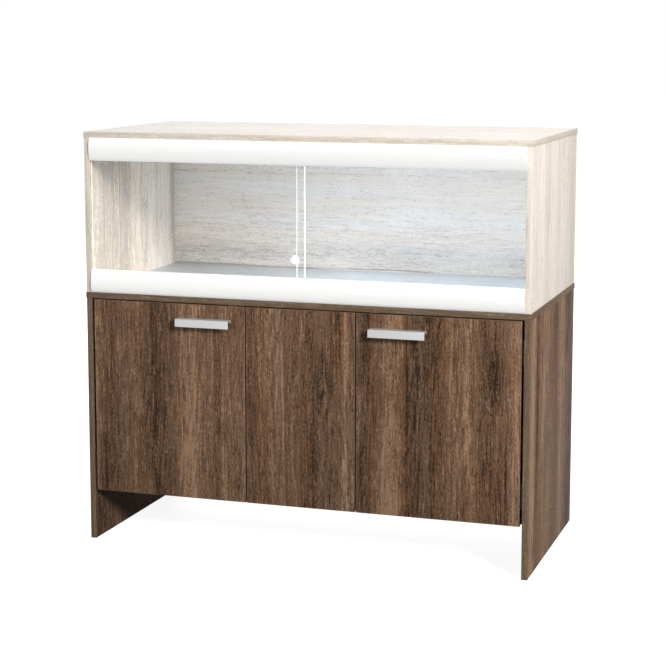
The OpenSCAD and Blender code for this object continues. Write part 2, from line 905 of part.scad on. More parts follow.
module light_bar_housing() {
  color("silver") difference() {
    block(
      [light_x0 + cap_t, light_y, light_bottom],
      [light_x1 - cap_t, light_y + light_w, light_top]
    );
    block(
      [light_x0, light_y + light_wall, light_bottom - past],
      [light_x1, light_y + light_w - light_wall, light_top - light_wall]
    );
  }
}

module light_bar_diffuser() {
  edge = light_wall + clip_slip;
  half = light_w / 2 - edge;
  bed = 5;
  steps = 12;
  color("azure") translate([0, light_mid_y, light_bottom])
    along_x(light_x0 + cap_t, light_x1 - cap_t) difference() {
      polygon(concat(
        [for (i = [0 : steps]) let (a = 180 + 180 * i / steps) [half * cos(a), diffuser_drop * sin(a)]],
        [[half, bed], [-half, bed]]
      ));
      polygon(concat(
        [for (i = [0 : steps]) let (a = 180 + 180 * i / steps)
          [(half - light_wall) * cos(a), (diffuser_drop - light_wall) * sin(a)]],
        [[half - light_wall, bed + past], [-half + light_wall, bed + past]]
      ));
    }
}

module light_bar_end_caps() {
  steps = 12;
  half = light_w / 2;
  color("white") for (x = [light_x0, light_x1 - cap_t])
    translate([0, light_mid_y, light_bottom]) along_x(x, x + cap_t) polygon(concat(
      [for (i = [0 : steps]) let (a = 180 + 180 * i / steps) [half * cos(a), diffuser_drop * sin(a)]],
      [[half, light_h], [-half, light_h]]
    ));
}

module light_bar_led_board() {
  half = light_w / 2 - light_wall - led_board_room;
  under = light_top - light_wall - led_board_t;
  chips = floor((light_len - 2 * cap_t - 2 * led_w) / led_pitch);
  color("white") {
    block(
      [light_x0 + cap_t + led_board_room, light_mid_y - half, under],
      [light_x1 - cap_t - led_board_room, light_mid_y + half, light_top - light_wall]
    );
    for (i = [0 : chips - 1])
      translate([light_x + (i - (chips - 1) / 2) * led_pitch, light_mid_y, under])
        block([-led_w / 2, -led_w / 2, -led_t], [led_w / 2, led_w / 2, 0]);
  }
}

// Spring clips: a plate on the panel's underside and two jaws that grip the housing.
module light_bar_clips() {
  half = light_w / 2 + clip_slip;
  color("silver") difference() {
    at_clips() {
      block([-clip_w / 2, -half - clip_t, 0], [clip_w / 2, half + clip_t, clip_t]);
      for (flip = [0, 1]) mirror([0, flip, 0])
        block([-clip_w / 2, half, -clip_jaw], [clip_w / 2, half + clip_t, clip_t]);
    }
    at_clips() rotate([180, 0, 0]) wood_screw(screw_reach_clip, fit_gap);
  }
}

module vivarium_screws() {
  color("gainsboro") {
    for (side = [-1, 1]) on_side(side) at_block_screws() wood_screw(screw_reach_block);
    at_clips() rotate([180, 0, 0]) wood_screw(screw_reach_clip);
  }
}

module vivarium_dowels() {
  color("burlywood") for (side = [-1, 1]) on_side(side) {
    at_lid_dowels() dowel(dowel_d);
    at_floor_dowels() dowel(floor_dowel_d);
  }
}

module vivarium_cams() {
  color("silver") for (side = [-1, 1]) on_side(side)
    at_side_cams(shell_x, lid_under) cam(shell_cam_depth, shell_t / 2);
}

module vivarium_cam_bolts() {
  color("silver") for (side = [-1, 1]) on_side(side) at_lid_bolts() cam_bolt();
}

cabinet_top_panel();
cabinet_side(-1);  // cabinet_left_side
cabinet_side(1);  // cabinet_right_side
cabinet_base_panel();
cabinet_back_panel();
cabinet_centre_divider();
cabinet_centre_panel();
door(-1);  // left_door
door(1);  // right_door
handle(-1);  // left_handle
handle(1);  // right_handle
handle_screws(-1);  // left_handle_screws
handle_screws(1);  // right_handle_screws
hinge_side_leaf(-1, 0);  // lower_left_hinge_side_leaf
hinge_door_leaf(-1, 0);  // lower_left_hinge_door_leaf
hinge_pin(-1, 0);  // lower_left_hinge_pin
hinge_side_leaf(-1, 1);  // upper_left_hinge_side_leaf
hinge_door_leaf(-1, 1);  // upper_left_hinge_door_leaf
hinge_pin(-1, 1);  // upper_left_hinge_pin
hinge_side_leaf(1, 0);  // lower_right_hinge_side_leaf
hinge_door_leaf(1, 0);  // lower_right_hinge_door_leaf
hinge_pin(1, 0);  // lower_right_hinge_pin
hinge_side_leaf(1, 1);  // upper_right_hinge_side_leaf
hinge_door_leaf(1, 1);  // upper_right_hinge_door_leaf
hinge_pin(1, 1);  // upper_right_hinge_pin
catch(-1);  // left_catch
catch(1);  // right_catch
strike_plate(-1);  // left_strike_plate
strike_plate(1);  // right_strike_plate
door_screws(-1);  // left_door_screws
door_screws(1);  // right_door_screws
cabinet_screws();
cabinet_dowels();
cabinet_cams();
cabinet_cam_bolts();
vivarium_top_panel();
vivarium_side(-1);  // vivarium_left_side
vivarium_side(1);  // vivarium_right_side
vivarium_floor_panel();
vivarium_back_panel();
cable_grommet();
top_fascia();
bottom_fascia();
fascia_blocks();
left_glass();
right_glass();
light_bar_housing();
light_bar_diffuser();
light_bar_end_caps();
light_bar_led_board();
light_bar_clips();
vivarium_screws();
vivarium_dowels();
vivarium_cams();
vivarium_cam_bolts();
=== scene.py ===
import json
import math

import bmesh
import bpy
from mathutils import Matrix, Vector


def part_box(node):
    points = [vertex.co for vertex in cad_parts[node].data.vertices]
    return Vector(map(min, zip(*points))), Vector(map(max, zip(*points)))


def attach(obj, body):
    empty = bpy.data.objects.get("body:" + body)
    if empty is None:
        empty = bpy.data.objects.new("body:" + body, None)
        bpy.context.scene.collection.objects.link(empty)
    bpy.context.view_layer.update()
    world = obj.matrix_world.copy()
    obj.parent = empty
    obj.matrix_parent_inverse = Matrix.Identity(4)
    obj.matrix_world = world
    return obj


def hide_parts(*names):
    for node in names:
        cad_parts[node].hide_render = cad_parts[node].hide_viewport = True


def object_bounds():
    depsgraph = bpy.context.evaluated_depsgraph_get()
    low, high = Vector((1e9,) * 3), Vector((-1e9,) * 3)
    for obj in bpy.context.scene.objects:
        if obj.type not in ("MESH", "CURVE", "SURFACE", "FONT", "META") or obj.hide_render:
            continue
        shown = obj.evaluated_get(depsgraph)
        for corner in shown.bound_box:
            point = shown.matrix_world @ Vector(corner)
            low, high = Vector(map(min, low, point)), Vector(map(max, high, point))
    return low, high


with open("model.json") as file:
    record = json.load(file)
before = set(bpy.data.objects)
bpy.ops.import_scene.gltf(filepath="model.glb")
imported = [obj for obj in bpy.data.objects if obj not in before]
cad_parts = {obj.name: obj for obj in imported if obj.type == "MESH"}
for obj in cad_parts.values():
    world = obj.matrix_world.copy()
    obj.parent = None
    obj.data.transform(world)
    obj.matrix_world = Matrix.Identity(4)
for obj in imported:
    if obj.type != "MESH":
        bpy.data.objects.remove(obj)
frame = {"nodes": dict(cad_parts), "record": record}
cadLow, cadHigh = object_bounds()
nodes = frame["nodes"]
scene = bpy.context.scene
bodies = frame["record"]["behaviour"]["bodies"]
bodyOf = {node: body for body, members in bodies.items() for node in members}
slotOf = {part["node"]: part["material_slot"] for part in frame["record"]["subparts"]}
print("frame loaded,", len(nodes), "nodes")

cameraSet = {
    "place": (1.3994, -4.2474, 1.3004),
    "turn": 18.26,  # degrees to the left of straight ahead
    "tilt": 7.62,  # degrees downwards
    "lens": 94.54,
    "sensor": 36,
    "lift": -0.10,  # lens shift: the horizon sits above the middle of the picture
}


def addObject(name, data):
    thing = bpy.data.objects.new(name, data)
    scene.collection.objects.link(thing)
    return thing


def makeCamera():
    lens = bpy.data.cameras.new("camera")
    lens.lens = cameraSet["lens"]
    lens.sensor_width = cameraSet["sensor"]
    lens.shift_y = cameraSet["lift"]
    camera = addObject("camera", lens)
    camera.location = cameraSet["place"]
    tilt, turn = math.radians(90 - cameraSet["tilt"]), math.radians(cameraSet["turn"])
    camera.rotation_euler = (tilt, 0, turn)
    scene.camera = camera


def colour(red, green, blue):
    # screen values from 0 to 255 become the linear ones that shaders take, by the sRGB curve
    def linear(value):
        share = value / 255
        return share / 12.92 if share <= 0.04045 else ((share + 0.055) / 1.055) ** 2.4
    return (linear(red), linear(green), linear(blue), 1)


def scaled(base, factor):
    # the same colour, lighter or darker
    return tuple(min(1, part * factor) for part in base[:3]) + (1,)


def fill(node, inputs):
    # each input takes a plain value or a link from another node's output
    for name, value in inputs.items():
        if isinstance(value, bpy.types.NodeSocket):
            node.id_data.links.new(value, node.inputs[name])
        else:
            node.inputs[name].default_value = value


def addNode(kind, inputs, tree=None, **settings):
    # a new node joins the tree of the outputs that feed it
    sources = [value for value in inputs.values() if isinstance(value, bpy.types.NodeSocket)]
    node = (tree or sources[0].id_data).nodes.new("ShaderNode" + kind)
    for name, value in settings.items():
        setattr(node, name, value)
    fill(node, inputs)
    return node


def calc(operation, *values):
    return addNode("Math", dict(enumerate(values)), operation=operation).outputs[0]


def vectorCalc(operation, *values, output="Vector"):
    return addNode("VectorMath", dict(enumerate(values)), operation=operation).outputs[output]


def ramp(value, low, high, start=0.0, end=1.0):
    # a soft step from start to end while value goes from low to high
    return addNode("MapRange", {
        "Value": value, "From Min": low, "From Max": high, "To Min": start, "To Max": end,
    }, interpolation_type="SMOOTHSTEP").outputs[0]


def noise(vector, stretch, detail=2.0, rough=0.5, output=0):
    return addNode("TexNoise", {
        "Vector": vectorCalc("MULTIPLY", vector, stretch), "Scale": 1.0, "Detail": detail,
        "Roughness": rough,
    }).outputs[output]


def swing(value):
    # noise lies round 0.5: bring it round 0
    return calc("SUBTRACT", value, 0.5)


def mixColours(factor, first, second, mode="MIX"):
    # 6 and 7 are the Mix node's colour inputs, and 2 is its colour output
    inputs = {0: factor, 6: first, 7: second}
    return addNode("Mix", inputs, data_type="RGBA", blend_type=mode).outputs[2]


def newGroup(name, inputs, outputs):
    # names of sockets with their kinds; every group takes a Vector before its own inputs
    tree = bpy.data.node_groups.new(name, "ShaderNodeTree")
    for label, kind in {"Vector": "Vector", **inputs}.items():
        tree.interface.new_socket(name=label, in_out="INPUT", socket_type="NodeSocket" + kind)
    for label, kind in outputs.items():
        tree.interface.new_socket(name=label, in_out="OUTPUT", socket_type="NodeSocket" + kind)
    return tree.nodes.new("NodeGroupInput").outputs, tree.nodes.new("NodeGroupOutput")


def placeGroup(group, inputs):
    return addNode("Group", inputs, node_tree=group).outputs


def newMaterial(name):
    material = bpy.data.materials.new(name)
    material.use_nodes = True
    return material, material.node_tree.nodes["Principled BSDF"]


def placeOn(shader):
    # where a point lies on the object, in metres
    return addNode("TexCoord", {}, shader.id_data).outputs["Object"]


def bumpInto(shader, height, depth):
    bump = addNode("Bump", {"Height": height, "Distance": depth, "Strength": 1.0})
    fill(shader, {"Normal": bump.outputs["Normal"]})


# In the sets below a noise is its stretch along the three axes, its detail and its roughness, and
# a ramp is the two values it runs between and, if not 0 and 1, what it gives there.
figureSet = {
    "wander": ((1.6, 1.6, 1.4), 1.0), "drift": (0.04, 0.04, 0.0),
    "bands": ((10, 10, 0.4), 2.0), "lines": ((42, 42, 1.2), 2.0, 0.6),
    "threads": ((190, 190, 6), 3.0, 0.6), "fibres": ((260, 260, 22), 3.0, 0.75),
    "grit": ((400, 400, 130), 2.0, 0.6), "hue": ((22, 22, 0.8), 2.0), "flames": ((7, 7, 1.2), 1.0),
    "shares": {"bands": 0.7, "lines": 0.48, "threads": 0.46}, "rings": 130.0,
    "lower": (0.0, 0.5), "upper": (0.5, 1.0), "warm": (0.42, 0.6), "weave": (0.3, 0.7),
    "pale": (0.54, 0.68), "paleTone": (0.1, 0.5, 0.16, 0.46), "pores": (0.48, 0.36),
    "poreDepth": 0.21, "roughness": 0.46, "roughSpread": 0.16,
}


def makeWoodFigure():
    # printed wood grain: X runs across the board, Y through it and Z along the grain, in metres
    given, made = newGroup("wood figure", {
        "Shade": "Float", "Dark": "Color", "Middle": "Color", "Light": "Color", "Warm": "Color",
        "Fleck": "Color", "Contrast": "Float", "Flame": "Float", "Flecks": "Float", "Weave": "Float",
    }, {"Color": "Color", "Roughness": "Float", "Height": "Float"})
    wander = noise(given["Vector"], *figureSet["wander"], output="Color")
    drift = vectorCalc("MULTIPLY", vectorCalc("SUBTRACT", wander, (0.5, 0.5, 0.5)), figureSet["drift"])
    grain = vectorCalc("ADD", given["Vector"], drift)
    layers = {
        name: noise(grain, *figureSet[name])
        for name in ("bands", "lines", "threads", "fibres", "grit", "hue", "flames")
    }
    rings = calc("SINE", calc("MULTIPLY", layers["flames"], figureSet["rings"]))
    total = calc("MULTIPLY", rings, given["Flame"])
    for name, share in figureSet["shares"].items():
        part = calc("MULTIPLY", swing(layers[name]), share)
        total = calc("ADD", total, part)
    both = calc("MULTIPLY_ADD", layers["grit"], 0.5, calc("MULTIPLY", layers["fibres"], 0.5))
    speck = calc("MULTIPLY", swing(both), given["Flecks"])
    total = calc("MULTIPLY_ADD", total, given["Contrast"], given["Shade"])
    tone = calc("ADD", calc("ADD", total, speck), 0.5)
    lower = mixColours(ramp(tone, *figureSet["lower"]), given["Dark"], given["Middle"])
    figure = mixColours(ramp(tone, *figureSet["upper"]), lower, given["Light"])
    warmth = ramp(layers["hue"], *figureSet["warm"])
    tinted = mixColours(warmth, figure, given["Warm"], "MULTIPLY")
    pale = calc("MULTIPLY", ramp(both, *figureSet["pale"]), ramp(tone, *figureSet["paleTone"]))
    pores = calc("MULTIPLY", ramp(both, *figureSet["pores"]),
                 calc("MULTIPLY", given["Flecks"], figureSet["poreDepth"]))
    weave = ramp(layers["threads"], *figureSet["weave"],
                 calc("SUBTRACT", 1.0, given["Weave"]), calc("ADD", 1.0, given["Weave"]))
    flecked = mixColours(pale, tinted, given["Fleck"])
    pored = mixColours(pores, flecked, given["Dark"])
    rough = calc("MULTIPLY_ADD", layers["fibres"], figureSet["roughSpread"], figureSet["roughness"])
    fill(made, {
        "Color": mixColours(1.0, pored, weave, "MULTIPLY"), "Roughness": rough,
        "Height": calc("SUBTRACT", layers["fibres"], pores),
    })
    return made.id_data


streakSet = {
    "along": ((0.4, 0.4, 2.1), 2.0), "feather": ((70, 70, 1.6), 1.0), "swells": ((9, 9, 3.6), 1.0),
    "fray": 0.8, "frayMost": 0.014,  # of the half width, but no more than this many metres
    "wander": 0.02,
    "sides": (0.2, 1.5, 1.0, 0.0), "strength": (0.34, 0.62, 0.55, 1.25),
}


def makeStreak():
    # one darker or lighter strip of heartwood, feathered at its sides and wandering along the grain
    given, made = newGroup("streak", {
        "Centre": "Float", "Half width": "Float", "Depth": "Float", "Wander": "Float",
    }, {"Shade": "Float"})
    along = noise(given["Vector"], *streakSet["along"])
    feather = noise(given["Vector"], *streakSet["feather"])
    across = addNode("SeparateXYZ", {0: given["Vector"]}).outputs[0]
    bent = calc("MULTIPLY_ADD", swing(along), given["Wander"], across)
    most = calc("MULTIPLY", given["Half width"], streakSet["fray"])
    fray = calc("MINIMUM", most, streakSet["frayMost"])
    ragged = calc("MULTIPLY_ADD", swing(feather), fray, bent)
    away = calc("ABSOLUTE", calc("SUBTRACT", ragged, given["Centre"]))
    inside = ramp(calc("DIVIDE", away, given["Half width"]), *streakSet["sides"])
    swells = noise(given["Vector"], *streakSet["swells"])
    strength = calc("MULTIPLY", ramp(swells, *streakSet["strength"]), given["Depth"])
    fill(made, {"Shade": calc("MULTIPLY", inside, strength)})
    return made.id_data


knotSet = {
    "ragged": ((60, 60, 26), 2.0), "threads": ((170, 170, 12), 2.0),
    "near": (1, 0, 0.62), "far": (1, 0, 0.30),  # both are ovals, longer along the grain
    "nearRough": 1.1, "farRough": 1.4, "swell": (0.3, 3.0, 1.0, 0.0),
    "halo": (0.0, 2.8, 1.0, 0.0), "haloDepth": 0.36, "heart": (0.0, 0.7, 0.6, 0.0),
    "rings": 11.0, "ringDepth": (0.8, 2.8, 0.07, 0.0),
}


def makeKnot():
    # the grain swells round a knot, which is dark at its heart and shades the wood along the grain
    given, made = newGroup("knot", {
        "Centre": "Vector", "Size": "Float", "Pull": "Float", "Depth": "Float", "Tail": "Vector",
    }, {"Vector": "Vector", "Shade": "Float"})
    offset = vectorCalc("SUBTRACT", given["Vector"], given["Centre"])
    trail = vectorCalc("SUBTRACT", offset, given["Tail"])
    ragged = noise(given["Vector"], *knotSet["ragged"])
    threads = noise(given["Vector"], *knotSet["threads"])

    def reach(middle, oval, source, share):
        flat = vectorCalc("MULTIPLY", middle, oval)
        length = vectorCalc("LENGTH", flat, output="Value")
        rough = calc("MULTIPLY", swing(source), share)
        return calc("ADD", calc("DIVIDE", length, given["Size"]), rough)
    near = reach(offset, knotSet["near"], ragged, knotSet["nearRough"])
    far = reach(trail, knotSet["far"], threads, knotSet["farRough"])
    swell = calc("MULTIPLY", ramp(near, *knotSet["swell"]), given["Pull"])
    squeeze = addNode("CombineXYZ", {0: calc("SUBTRACT", 1.0, swell), 1: 1.0, 2: 1.0}).outputs[0]
    bent = vectorCalc("ADD", vectorCalc("MULTIPLY", offset, squeeze), given["Centre"])
    halo = calc("MULTIPLY", ramp(far, *knotSet["halo"]), knotSet["haloDepth"])
    rings = calc("SINE", calc("MULTIPLY", near, knotSet["rings"]))
    rings = calc("MULTIPLY", rings, ramp(near, *knotSet["ringDepth"]))
    heart = calc("ADD", ramp(near, *knotSet["heart"]), rings)
    shade = calc("MULTIPLY", calc("ADD", halo, heart), given["Depth"])
    fill(made, {"Vector": bent, "Shade": shade})
    return made.id_data


handlingSet = {
    "smears": ((7, 7, 5), 3.0, 0.6), "smearRange": (0.35, 0.7),
    "dust": ((420, 420, 420), 2.0), "dustRange": (0.5, 0.7), "dustShare": 0.3,
}


def makeHandling():
    # faint smears and dust that change a surface's gloss
    inputs = {"Roughness": "Float", "Amount": "Float"}
    given, made = newGroup("handling", inputs, {"Roughness": "Float"})
    smears = noise(given["Vector"], *handlingSet["smears"])
    dust = noise(given["Vector"], *handlingSet["dust"])
    dusty, smeary = ramp(dust, *handlingSet["dustRange"]), ramp(smears, *handlingSet["smearRange"])
    both = calc("MULTIPLY_ADD", dusty, handlingSet["dustShare"], smeary)
    fill(made, {"Roughness": calc("MULTIPLY_ADD", both, given["Amount"], given["Roughness"])})
    return made.id_data


drawnSet = {"noise": (3.0, 0.6), "lines": (0.3, 0.7), "smear": 0.06}


def makeDrawnLines():
    # fine lines along one axis, as brushing or extruding leaves them; Stretch is large across them
    given, made = newGroup("drawn lines", {"Stretch": "Vector"}, {"Lines": "Float"})
    fill(made, {"Lines": noise(given["Vector"], given["Stretch"], *drawnSet["noise"])})
    return made.id_data


woodFigure = makeWoodFigure()
streakGroup = makeStreak()
knotGroup = makeKnot()
handling = makeHandling()
drawnLines = makeDrawnLines()
print("node groups made")

# what a laminate has unless its wood or board says otherwise; the bump's height is in metres
laminate = {
    "contrast": 0.8, "flame": 0.03, "flecks": 1.0, "weave": 0.08, "gloss": 0.2, "bump": 0.00008,
    "shade": 0.0, "knots": [], "streaks": [],
}
woods = {
    "walnut": {
        "dark": colour(50, 39, 31), "middle": colour(108, 83, 65), "light": colour(152, 123, 100),
        "warm": (1.0, 0.92, 0.84, 1), "fleck": colour(164, 144, 126), "contrast": 1.15, "flame": 0.05,
        "flecks": 2.0, "weave": 0.12, "gloss": 0.02, "bump": 0.00010,
    },
    "walnut edge": {
        "dark": colour(52, 43, 34), "middle": colour(106, 89, 71), "light": colour(148, 129, 108),
        "warm": (1.0, 0.98, 0.95, 1), "fleck": colour(150, 138, 120), "weave": 0.10, "gloss": 0.03,
    },
    "oak": {
        "dark": colour(170, 160, 148), "middle": colour(228, 218, 207), "light": colour(244, 237, 229),
        "warm": (1.0, 0.975, 0.945, 1), "fleck": colour(248, 244, 239), "flecks": 1.7,
    },
    "oak edge": {
        "dark": colour(170, 160, 146), "middle": colour(216, 206, 193), "light": colour(240, 232, 222),
        "warm": (1.0, 0.975, 0.945, 1), "fleck": colour(240, 234, 226),
    },
    "pale oak": {
        "dark": colour(158, 152, 146), "middle": colour(224, 217, 211), "light": colour(244, 240, 236),
        "warm": (1.0, 0.98, 0.96, 1), "fleck": colour(244, 244, 243), "contrast": 0.65,
        "flecks": 1.9, "weave": 0.05,
    },
    "grey": {
        "dark": colour(176, 181, 185), "middle": colour(208, 213, 217), "light": colour(224, 229, 233),
        "warm": (1.0, 0.99, 0.97, 1), "fleck": colour(232, 236, 240), "contrast": 0.7,
        "flecks": 0.8, "weave": 0.05, "gloss": 0.4,
    },
}
edgeWoods = {"walnut": "walnut edge", "oak": "oak edge", "pale oak": "pale oak", "grey": "grey"}


def thirdAxis(one, other):
    return ({"X", "Y", "Z"} - {one, other}).pop()


def woodMaterial(name, wood, grain, across, board):
    # a board's own values go before those of its wood
    values = {**laminate, **woods[wood], **board}
    material, shader = newMaterial(name)
    axes = addNode("SeparateXYZ", {0: placeOn(shader)}).outputs
    vector = addNode("CombineXYZ", {
        0: axes[across], 1: axes[thirdAxis(grain, across)], 2: axes[grain],
    }).outputs[0]
    shade = values["shade"]
    for centre, size, pull, depth, tail in values["knots"]:
        knot = placeGroup(knotGroup, {
            "Vector": vector, "Centre": centre, "Size": size, "Pull": pull, "Depth": depth,
            "Tail": (0, 0, tail),
        })
        vector = knot["Vector"]
        shade = calc("ADD", shade, knot["Shade"])
    for centre, halfWidth, depth in values["streaks"]:
        streak = placeGroup(streakGroup, {
            "Vector": vector, "Centre": centre, "Half width": halfWidth, "Depth": depth,
            "Wander": streakSet["wander"],
        })
        shade = calc("ADD", shade, streak["Shade"])
    own = ("dark", "middle", "light", "warm", "fleck", "contrast", "flame", "flecks", "weave")
    figure = placeGroup(woodFigure, {
        "Vector": vectorCalc("ADD", vector, values["slice"]), "Shade": shade,
        **{key.capitalize(): values[key] for key in own},
    })
    fill(shader, {
        "Base Color": figure["Color"], "Roughness": figure["Roughness"],
        "Specular IOR Level": values["gloss"],
    })
    bumpInto(shader, figure["Height"], values["bump"])
    return material


def smeared(place, roughness, amount):
    inputs = {"Vector": place, "Roughness": roughness, "Amount": amount}
    return placeGroup(handling, inputs)["Roughness"]


edgingSet = {
    "wear": ((60, 60, 60), 3.0, 0.6), "wearRange": (0.45, 0.7), "paler": 1.25,
    "roughness": 0.42, "smear": 0.12, "gloss": 0.4, "bump": 0.00005,
}


def edgingMaterial(name, base):
    # the thin arris of the edge band, where the print ends and the band's own colour shows
    material, shader = newMaterial(name)
    place = placeOn(shader)
    wear = noise(place, *edgingSet["wear"])
    fill(shader, {
        "Base Color": mixColours(ramp(wear, *edgingSet["wearRange"]), base,
                                 scaled(base, edgingSet["paler"])),
        "Roughness": smeared(place, edgingSet["roughness"], edgingSet["smear"]),
        "Specular IOR Level": edgingSet["gloss"],
    })
    bumpInto(shader, wear, edgingSet["bump"])
    return material


edgings = {
    "walnut": edgingMaterial("walnut edging", colour(112, 88, 70)),
    "oak": edgingMaterial("oak edging", colour(214, 203, 190)),
    "pale oak": edgingMaterial("pale oak edging", colour(206, 202, 197)),
    "grey": edgingMaterial("grey edging", colour(176, 180, 181)),
}

# grain and across are the face's axes; shade makes the face lighter or darker, and bandShade the
# bands along the grain. A streak is its centre, half width and depth, and a knot its centre, size,
# pull, depth and how far its shading sits up the grain.
boards = {
    "cabinet_top_panel": {
        "wood": "walnut", "grain": "X", "across": "Y", "slice": (3.1, 0.4, 7.7), "bandShade": 0.10,
    },
    # the low shade of the left side is painted shade for the inner face of the leg under the cabinet; it
    # darkens the outer face too
    "cabinet_left_side": {
        "wood": "walnut", "grain": "Z", "across": "Y", "slice": (5.3, 1.9, 2.2), "shade": -0.18,
        "bandShade": 0.04,
    },
    "cabinet_right_side": {
        "wood": "walnut", "grain": "Z", "across": "Y", "slice": (8.7, 2.4, 4.1),
        "contrast": 1.4, "bandShade": 0.08,
        "streaks": [
            (-0.228, 0.030, 0.30), (-0.165, 0.024, -0.22), (-0.075, 0.060, 0.24), (0.060, 0.050, -0.10),
            (0.130, 0.012, 0.16), (0.225, 0.060, -0.32),
        ],
    },
    "cabinet_base_panel": {"wood": "walnut", "grain": "X", "across": "Y", "slice": (1.2, 6.1, 3.5)},
    "cabinet_centre_divider": {"wood": "walnut", "grain": "Z", "across": "Y", "slice": (2.9, 7.3, 0.8)},
    "cabinet_centre_panel": {
        "wood": "walnut", "grain": "Z", "across": "X", "slice": (4.4, 3.3, 9.2), "shade": -0.04,
        # this bandShade darkens the narrow sides: painted shade in the gaps beside the doors
        "bandShade": -0.35,
        "streaks": [
            (-0.131, 0.006, -0.10), (-0.095, 0.032, 0.16), (-0.092, 0.002, 0.14),
            (-0.035, 0.006, -0.14), (0.000, 0.008, 0.06), (0.036, 0.026, -0.16), (0.086, 0.014, -0.12),
            (0.118, 0.009, 0.30),
        ],
        "knots": [((0.060, 0, 0.419), 0.014, 0.6, -0.65, 0.030)],
    },
    "left_door": {
        "wood": "walnut", "grain": "Z", "across": "X", "slice": (6.1, 5.9, 8.4), "shade": 0.02,
        # this bandShade darkens the narrow sides: painted shade in the gaps beside the doors
        "bandShade": -0.35, "warm": (1.0, 0.95, 0.90, 1),
        "streaks": [
            (-0.548, 0.007, 0.14), (-0.515, 0.020, -0.12), (-0.449, 0.040, 0.10),
            (-0.383, 0.020, -0.14), (-0.363, 0.004, -0.12), (-0.288, 0.048, 0.22),
            (-0.260, 0.004, -0.10), (-0.222, 0.010, -0.16), (-0.205, 0.003, 0.16),
            (-0.170, 0.020, 0.04),
        ],
        "knots": [((-0.1625, 0, 0.169), 0.008, 0.5, -0.5, 0.0)],
    },
    "right_door": {
        "wood": "walnut", "grain": "Z", "across": "X", "slice": (7.9, 8.4, 5.9), "shade": -0.04,
        # this bandShade darkens the narrow sides: painted shade in the gaps beside the doors
        "bandShade": -0.35,
        "streaks": [
            (0.164, 0.018, -0.18), (0.230, 0.036, 0.46), (0.272, 0.005, -0.18), (0.292, 0.014, -0.06),
            (0.330, 0.034, -0.16), (0.408, 0.036, 0.16), (0.470, 0.020, -0.10), (0.520, 0.004, -0.26),
            (0.543, 0.010, 0.18),
        ],
        "knots": [((0.4852, 0, 0.519), 0.013, 0.6, -0.7, -0.025)],
    },
    "vivarium_top_panel": {
        # the high shade and cool tint of the face are partly the oak's pale tone and partly painted
        # light for the bright light on the top
        "wood": "oak", "grain": "X", "across": "Y", "slice": (2.3, 4.9, 6.6), "shade": 0.44,
        "contrast": 0.6, "bandShade": 0.14, "warm": (0.985, 1.0, 1.02, 1),
    },
    "vivarium_left_side": {
        "wood": "oak", "grain": "Z", "across": "Y", "slice": (9.1, 0.7, 3.8), "shade": -0.22,
        "contrast": 0.75, "warm": (1.0, 0.955, 0.90, 1),
        "streaks": [
            # the broad streaks at -0.200 and 0.150 are painted shade at the front, where the lamps'
            # light falls, and painted light towards the rear, where shade falls
            (-0.200, 0.090, -0.17), (-0.060, 0.030, -0.12), (-0.088, 0.004, -0.22),
            (0.010, 0.022, 0.06), (0.150, 0.110, 0.24), (0.075, 0.030, -0.16), (0.130, 0.008, 0.06),
            (0.255, 0.012, -0.30),
        ],
    },
    "vivarium_right_side": {
        "wood": "oak", "grain": "Z", "across": "Y", "slice": (0.6, 9.5, 8.3), "shade": 0.24,
        "contrast": 1.2, "bandShade": 0.50,
        "streaks": [
            (-0.170, 0.034, 0.16), (-0.072, 0.004, -0.30), (-0.090, 0.030, -0.14), (0.000, 0.016, 0.14),
            (0.045, 0.022, -0.20), (0.105, 0.020, 0.12), (0.170, 0.006, -0.22), (0.240, 0.030, -0.16),
        ],
    },
    "vivarium_back_panel": {
        "wood": "pale oak", "grain": "X", "across": "Z", "slice": (5.7, 6.2, 0.3), "shade": 0.42,
        "warm": (1.0, 0.955, 0.915, 1),
        "streaks": [
            # the broad streak at 0.675 is painted shade, darker towards the floor and away from the
            # light bar; the thin one at 0.6565 is a painted shadow where the panel meets the floor
            (0.960, 0.009, -0.05), (0.9165, 0.004, -0.30), (0.86, 0.08, 0.14), (0.705, 0.020, -0.14),
            (0.675, 0.060, -0.42), (0.6565, 0.002, -0.5),
        ],
    },
    "vivarium_floor_panel": {
        "wood": "grey", "grain": "X", "across": "Y", "slice": (1.8, 3.6, 5.1), "shade": -0.17,
    },
}

mouldedSet = {
    "spots": ((35, 35, 35), 3.0, 0.6), "skin": ((900, 900, 900), 2.0),
    "metal": 0.0, "gloss": 0.5, "mottle": 0.05, "smear": 0.08, "grit": 0.00003,
}


def plainMaterial(name, base, roughness, **own):
    # moulded, cast or painted stuff: slight mottle, a fine skin and uneven gloss
    values = {**mouldedSet, **own}
    material, shader = newMaterial(name)
    place = placeOn(shader)
    spots = noise(place, *values["spots"])
    fill(shader, {
        "Base Color": mixColours(spots, scaled(base, 1 - values["mottle"]), base),
        "Roughness": smeared(place, roughness, values["smear"]),
        "Metallic": values["metal"], "Specular IOR Level": values["gloss"],
    })
    bumpInto(shader, noise(place, *values["skin"]), values["grit"])
    return material


def drawnMaterial(name, base, roughness, metal, stretch, depth, spread, fade):
    # metal brushed or plastic extruded along one axis: the lines darken it and vary its gloss
    material, shader = newMaterial(name)
    place = placeOn(shader)
    lines = placeGroup(drawnLines, {"Vector": place, "Stretch": stretch})["Lines"]
    worn = smeared(place, roughness, drawnSet["smear"])
    fill(shader, {
        "Base Color": mixColours(ramp(lines, *drawnSet["lines"]), scaled(base, fade), base),
        "Roughness": calc("MULTIPLY_ADD", lines, spread, worn), "Metallic": metal,
    })
    bumpInto(shader, lines, depth)
    return material


hardboardSet = {
    "fibres": ((190, 190, 120), 4.0, 0.75), "fibreRange": (0.34, 0.66),
    "fibreColours": (colour(96, 70, 47), colour(160, 128, 96)),
    "clouds": ((9, 9, 5), 3.0, 0.6), "cloudRange": (0.3, 0.7),
    "cloudColours": (colour(214, 208, 202), colour(255, 255, 255)), "roughness": 0.72, "bump": 0.0002,
}


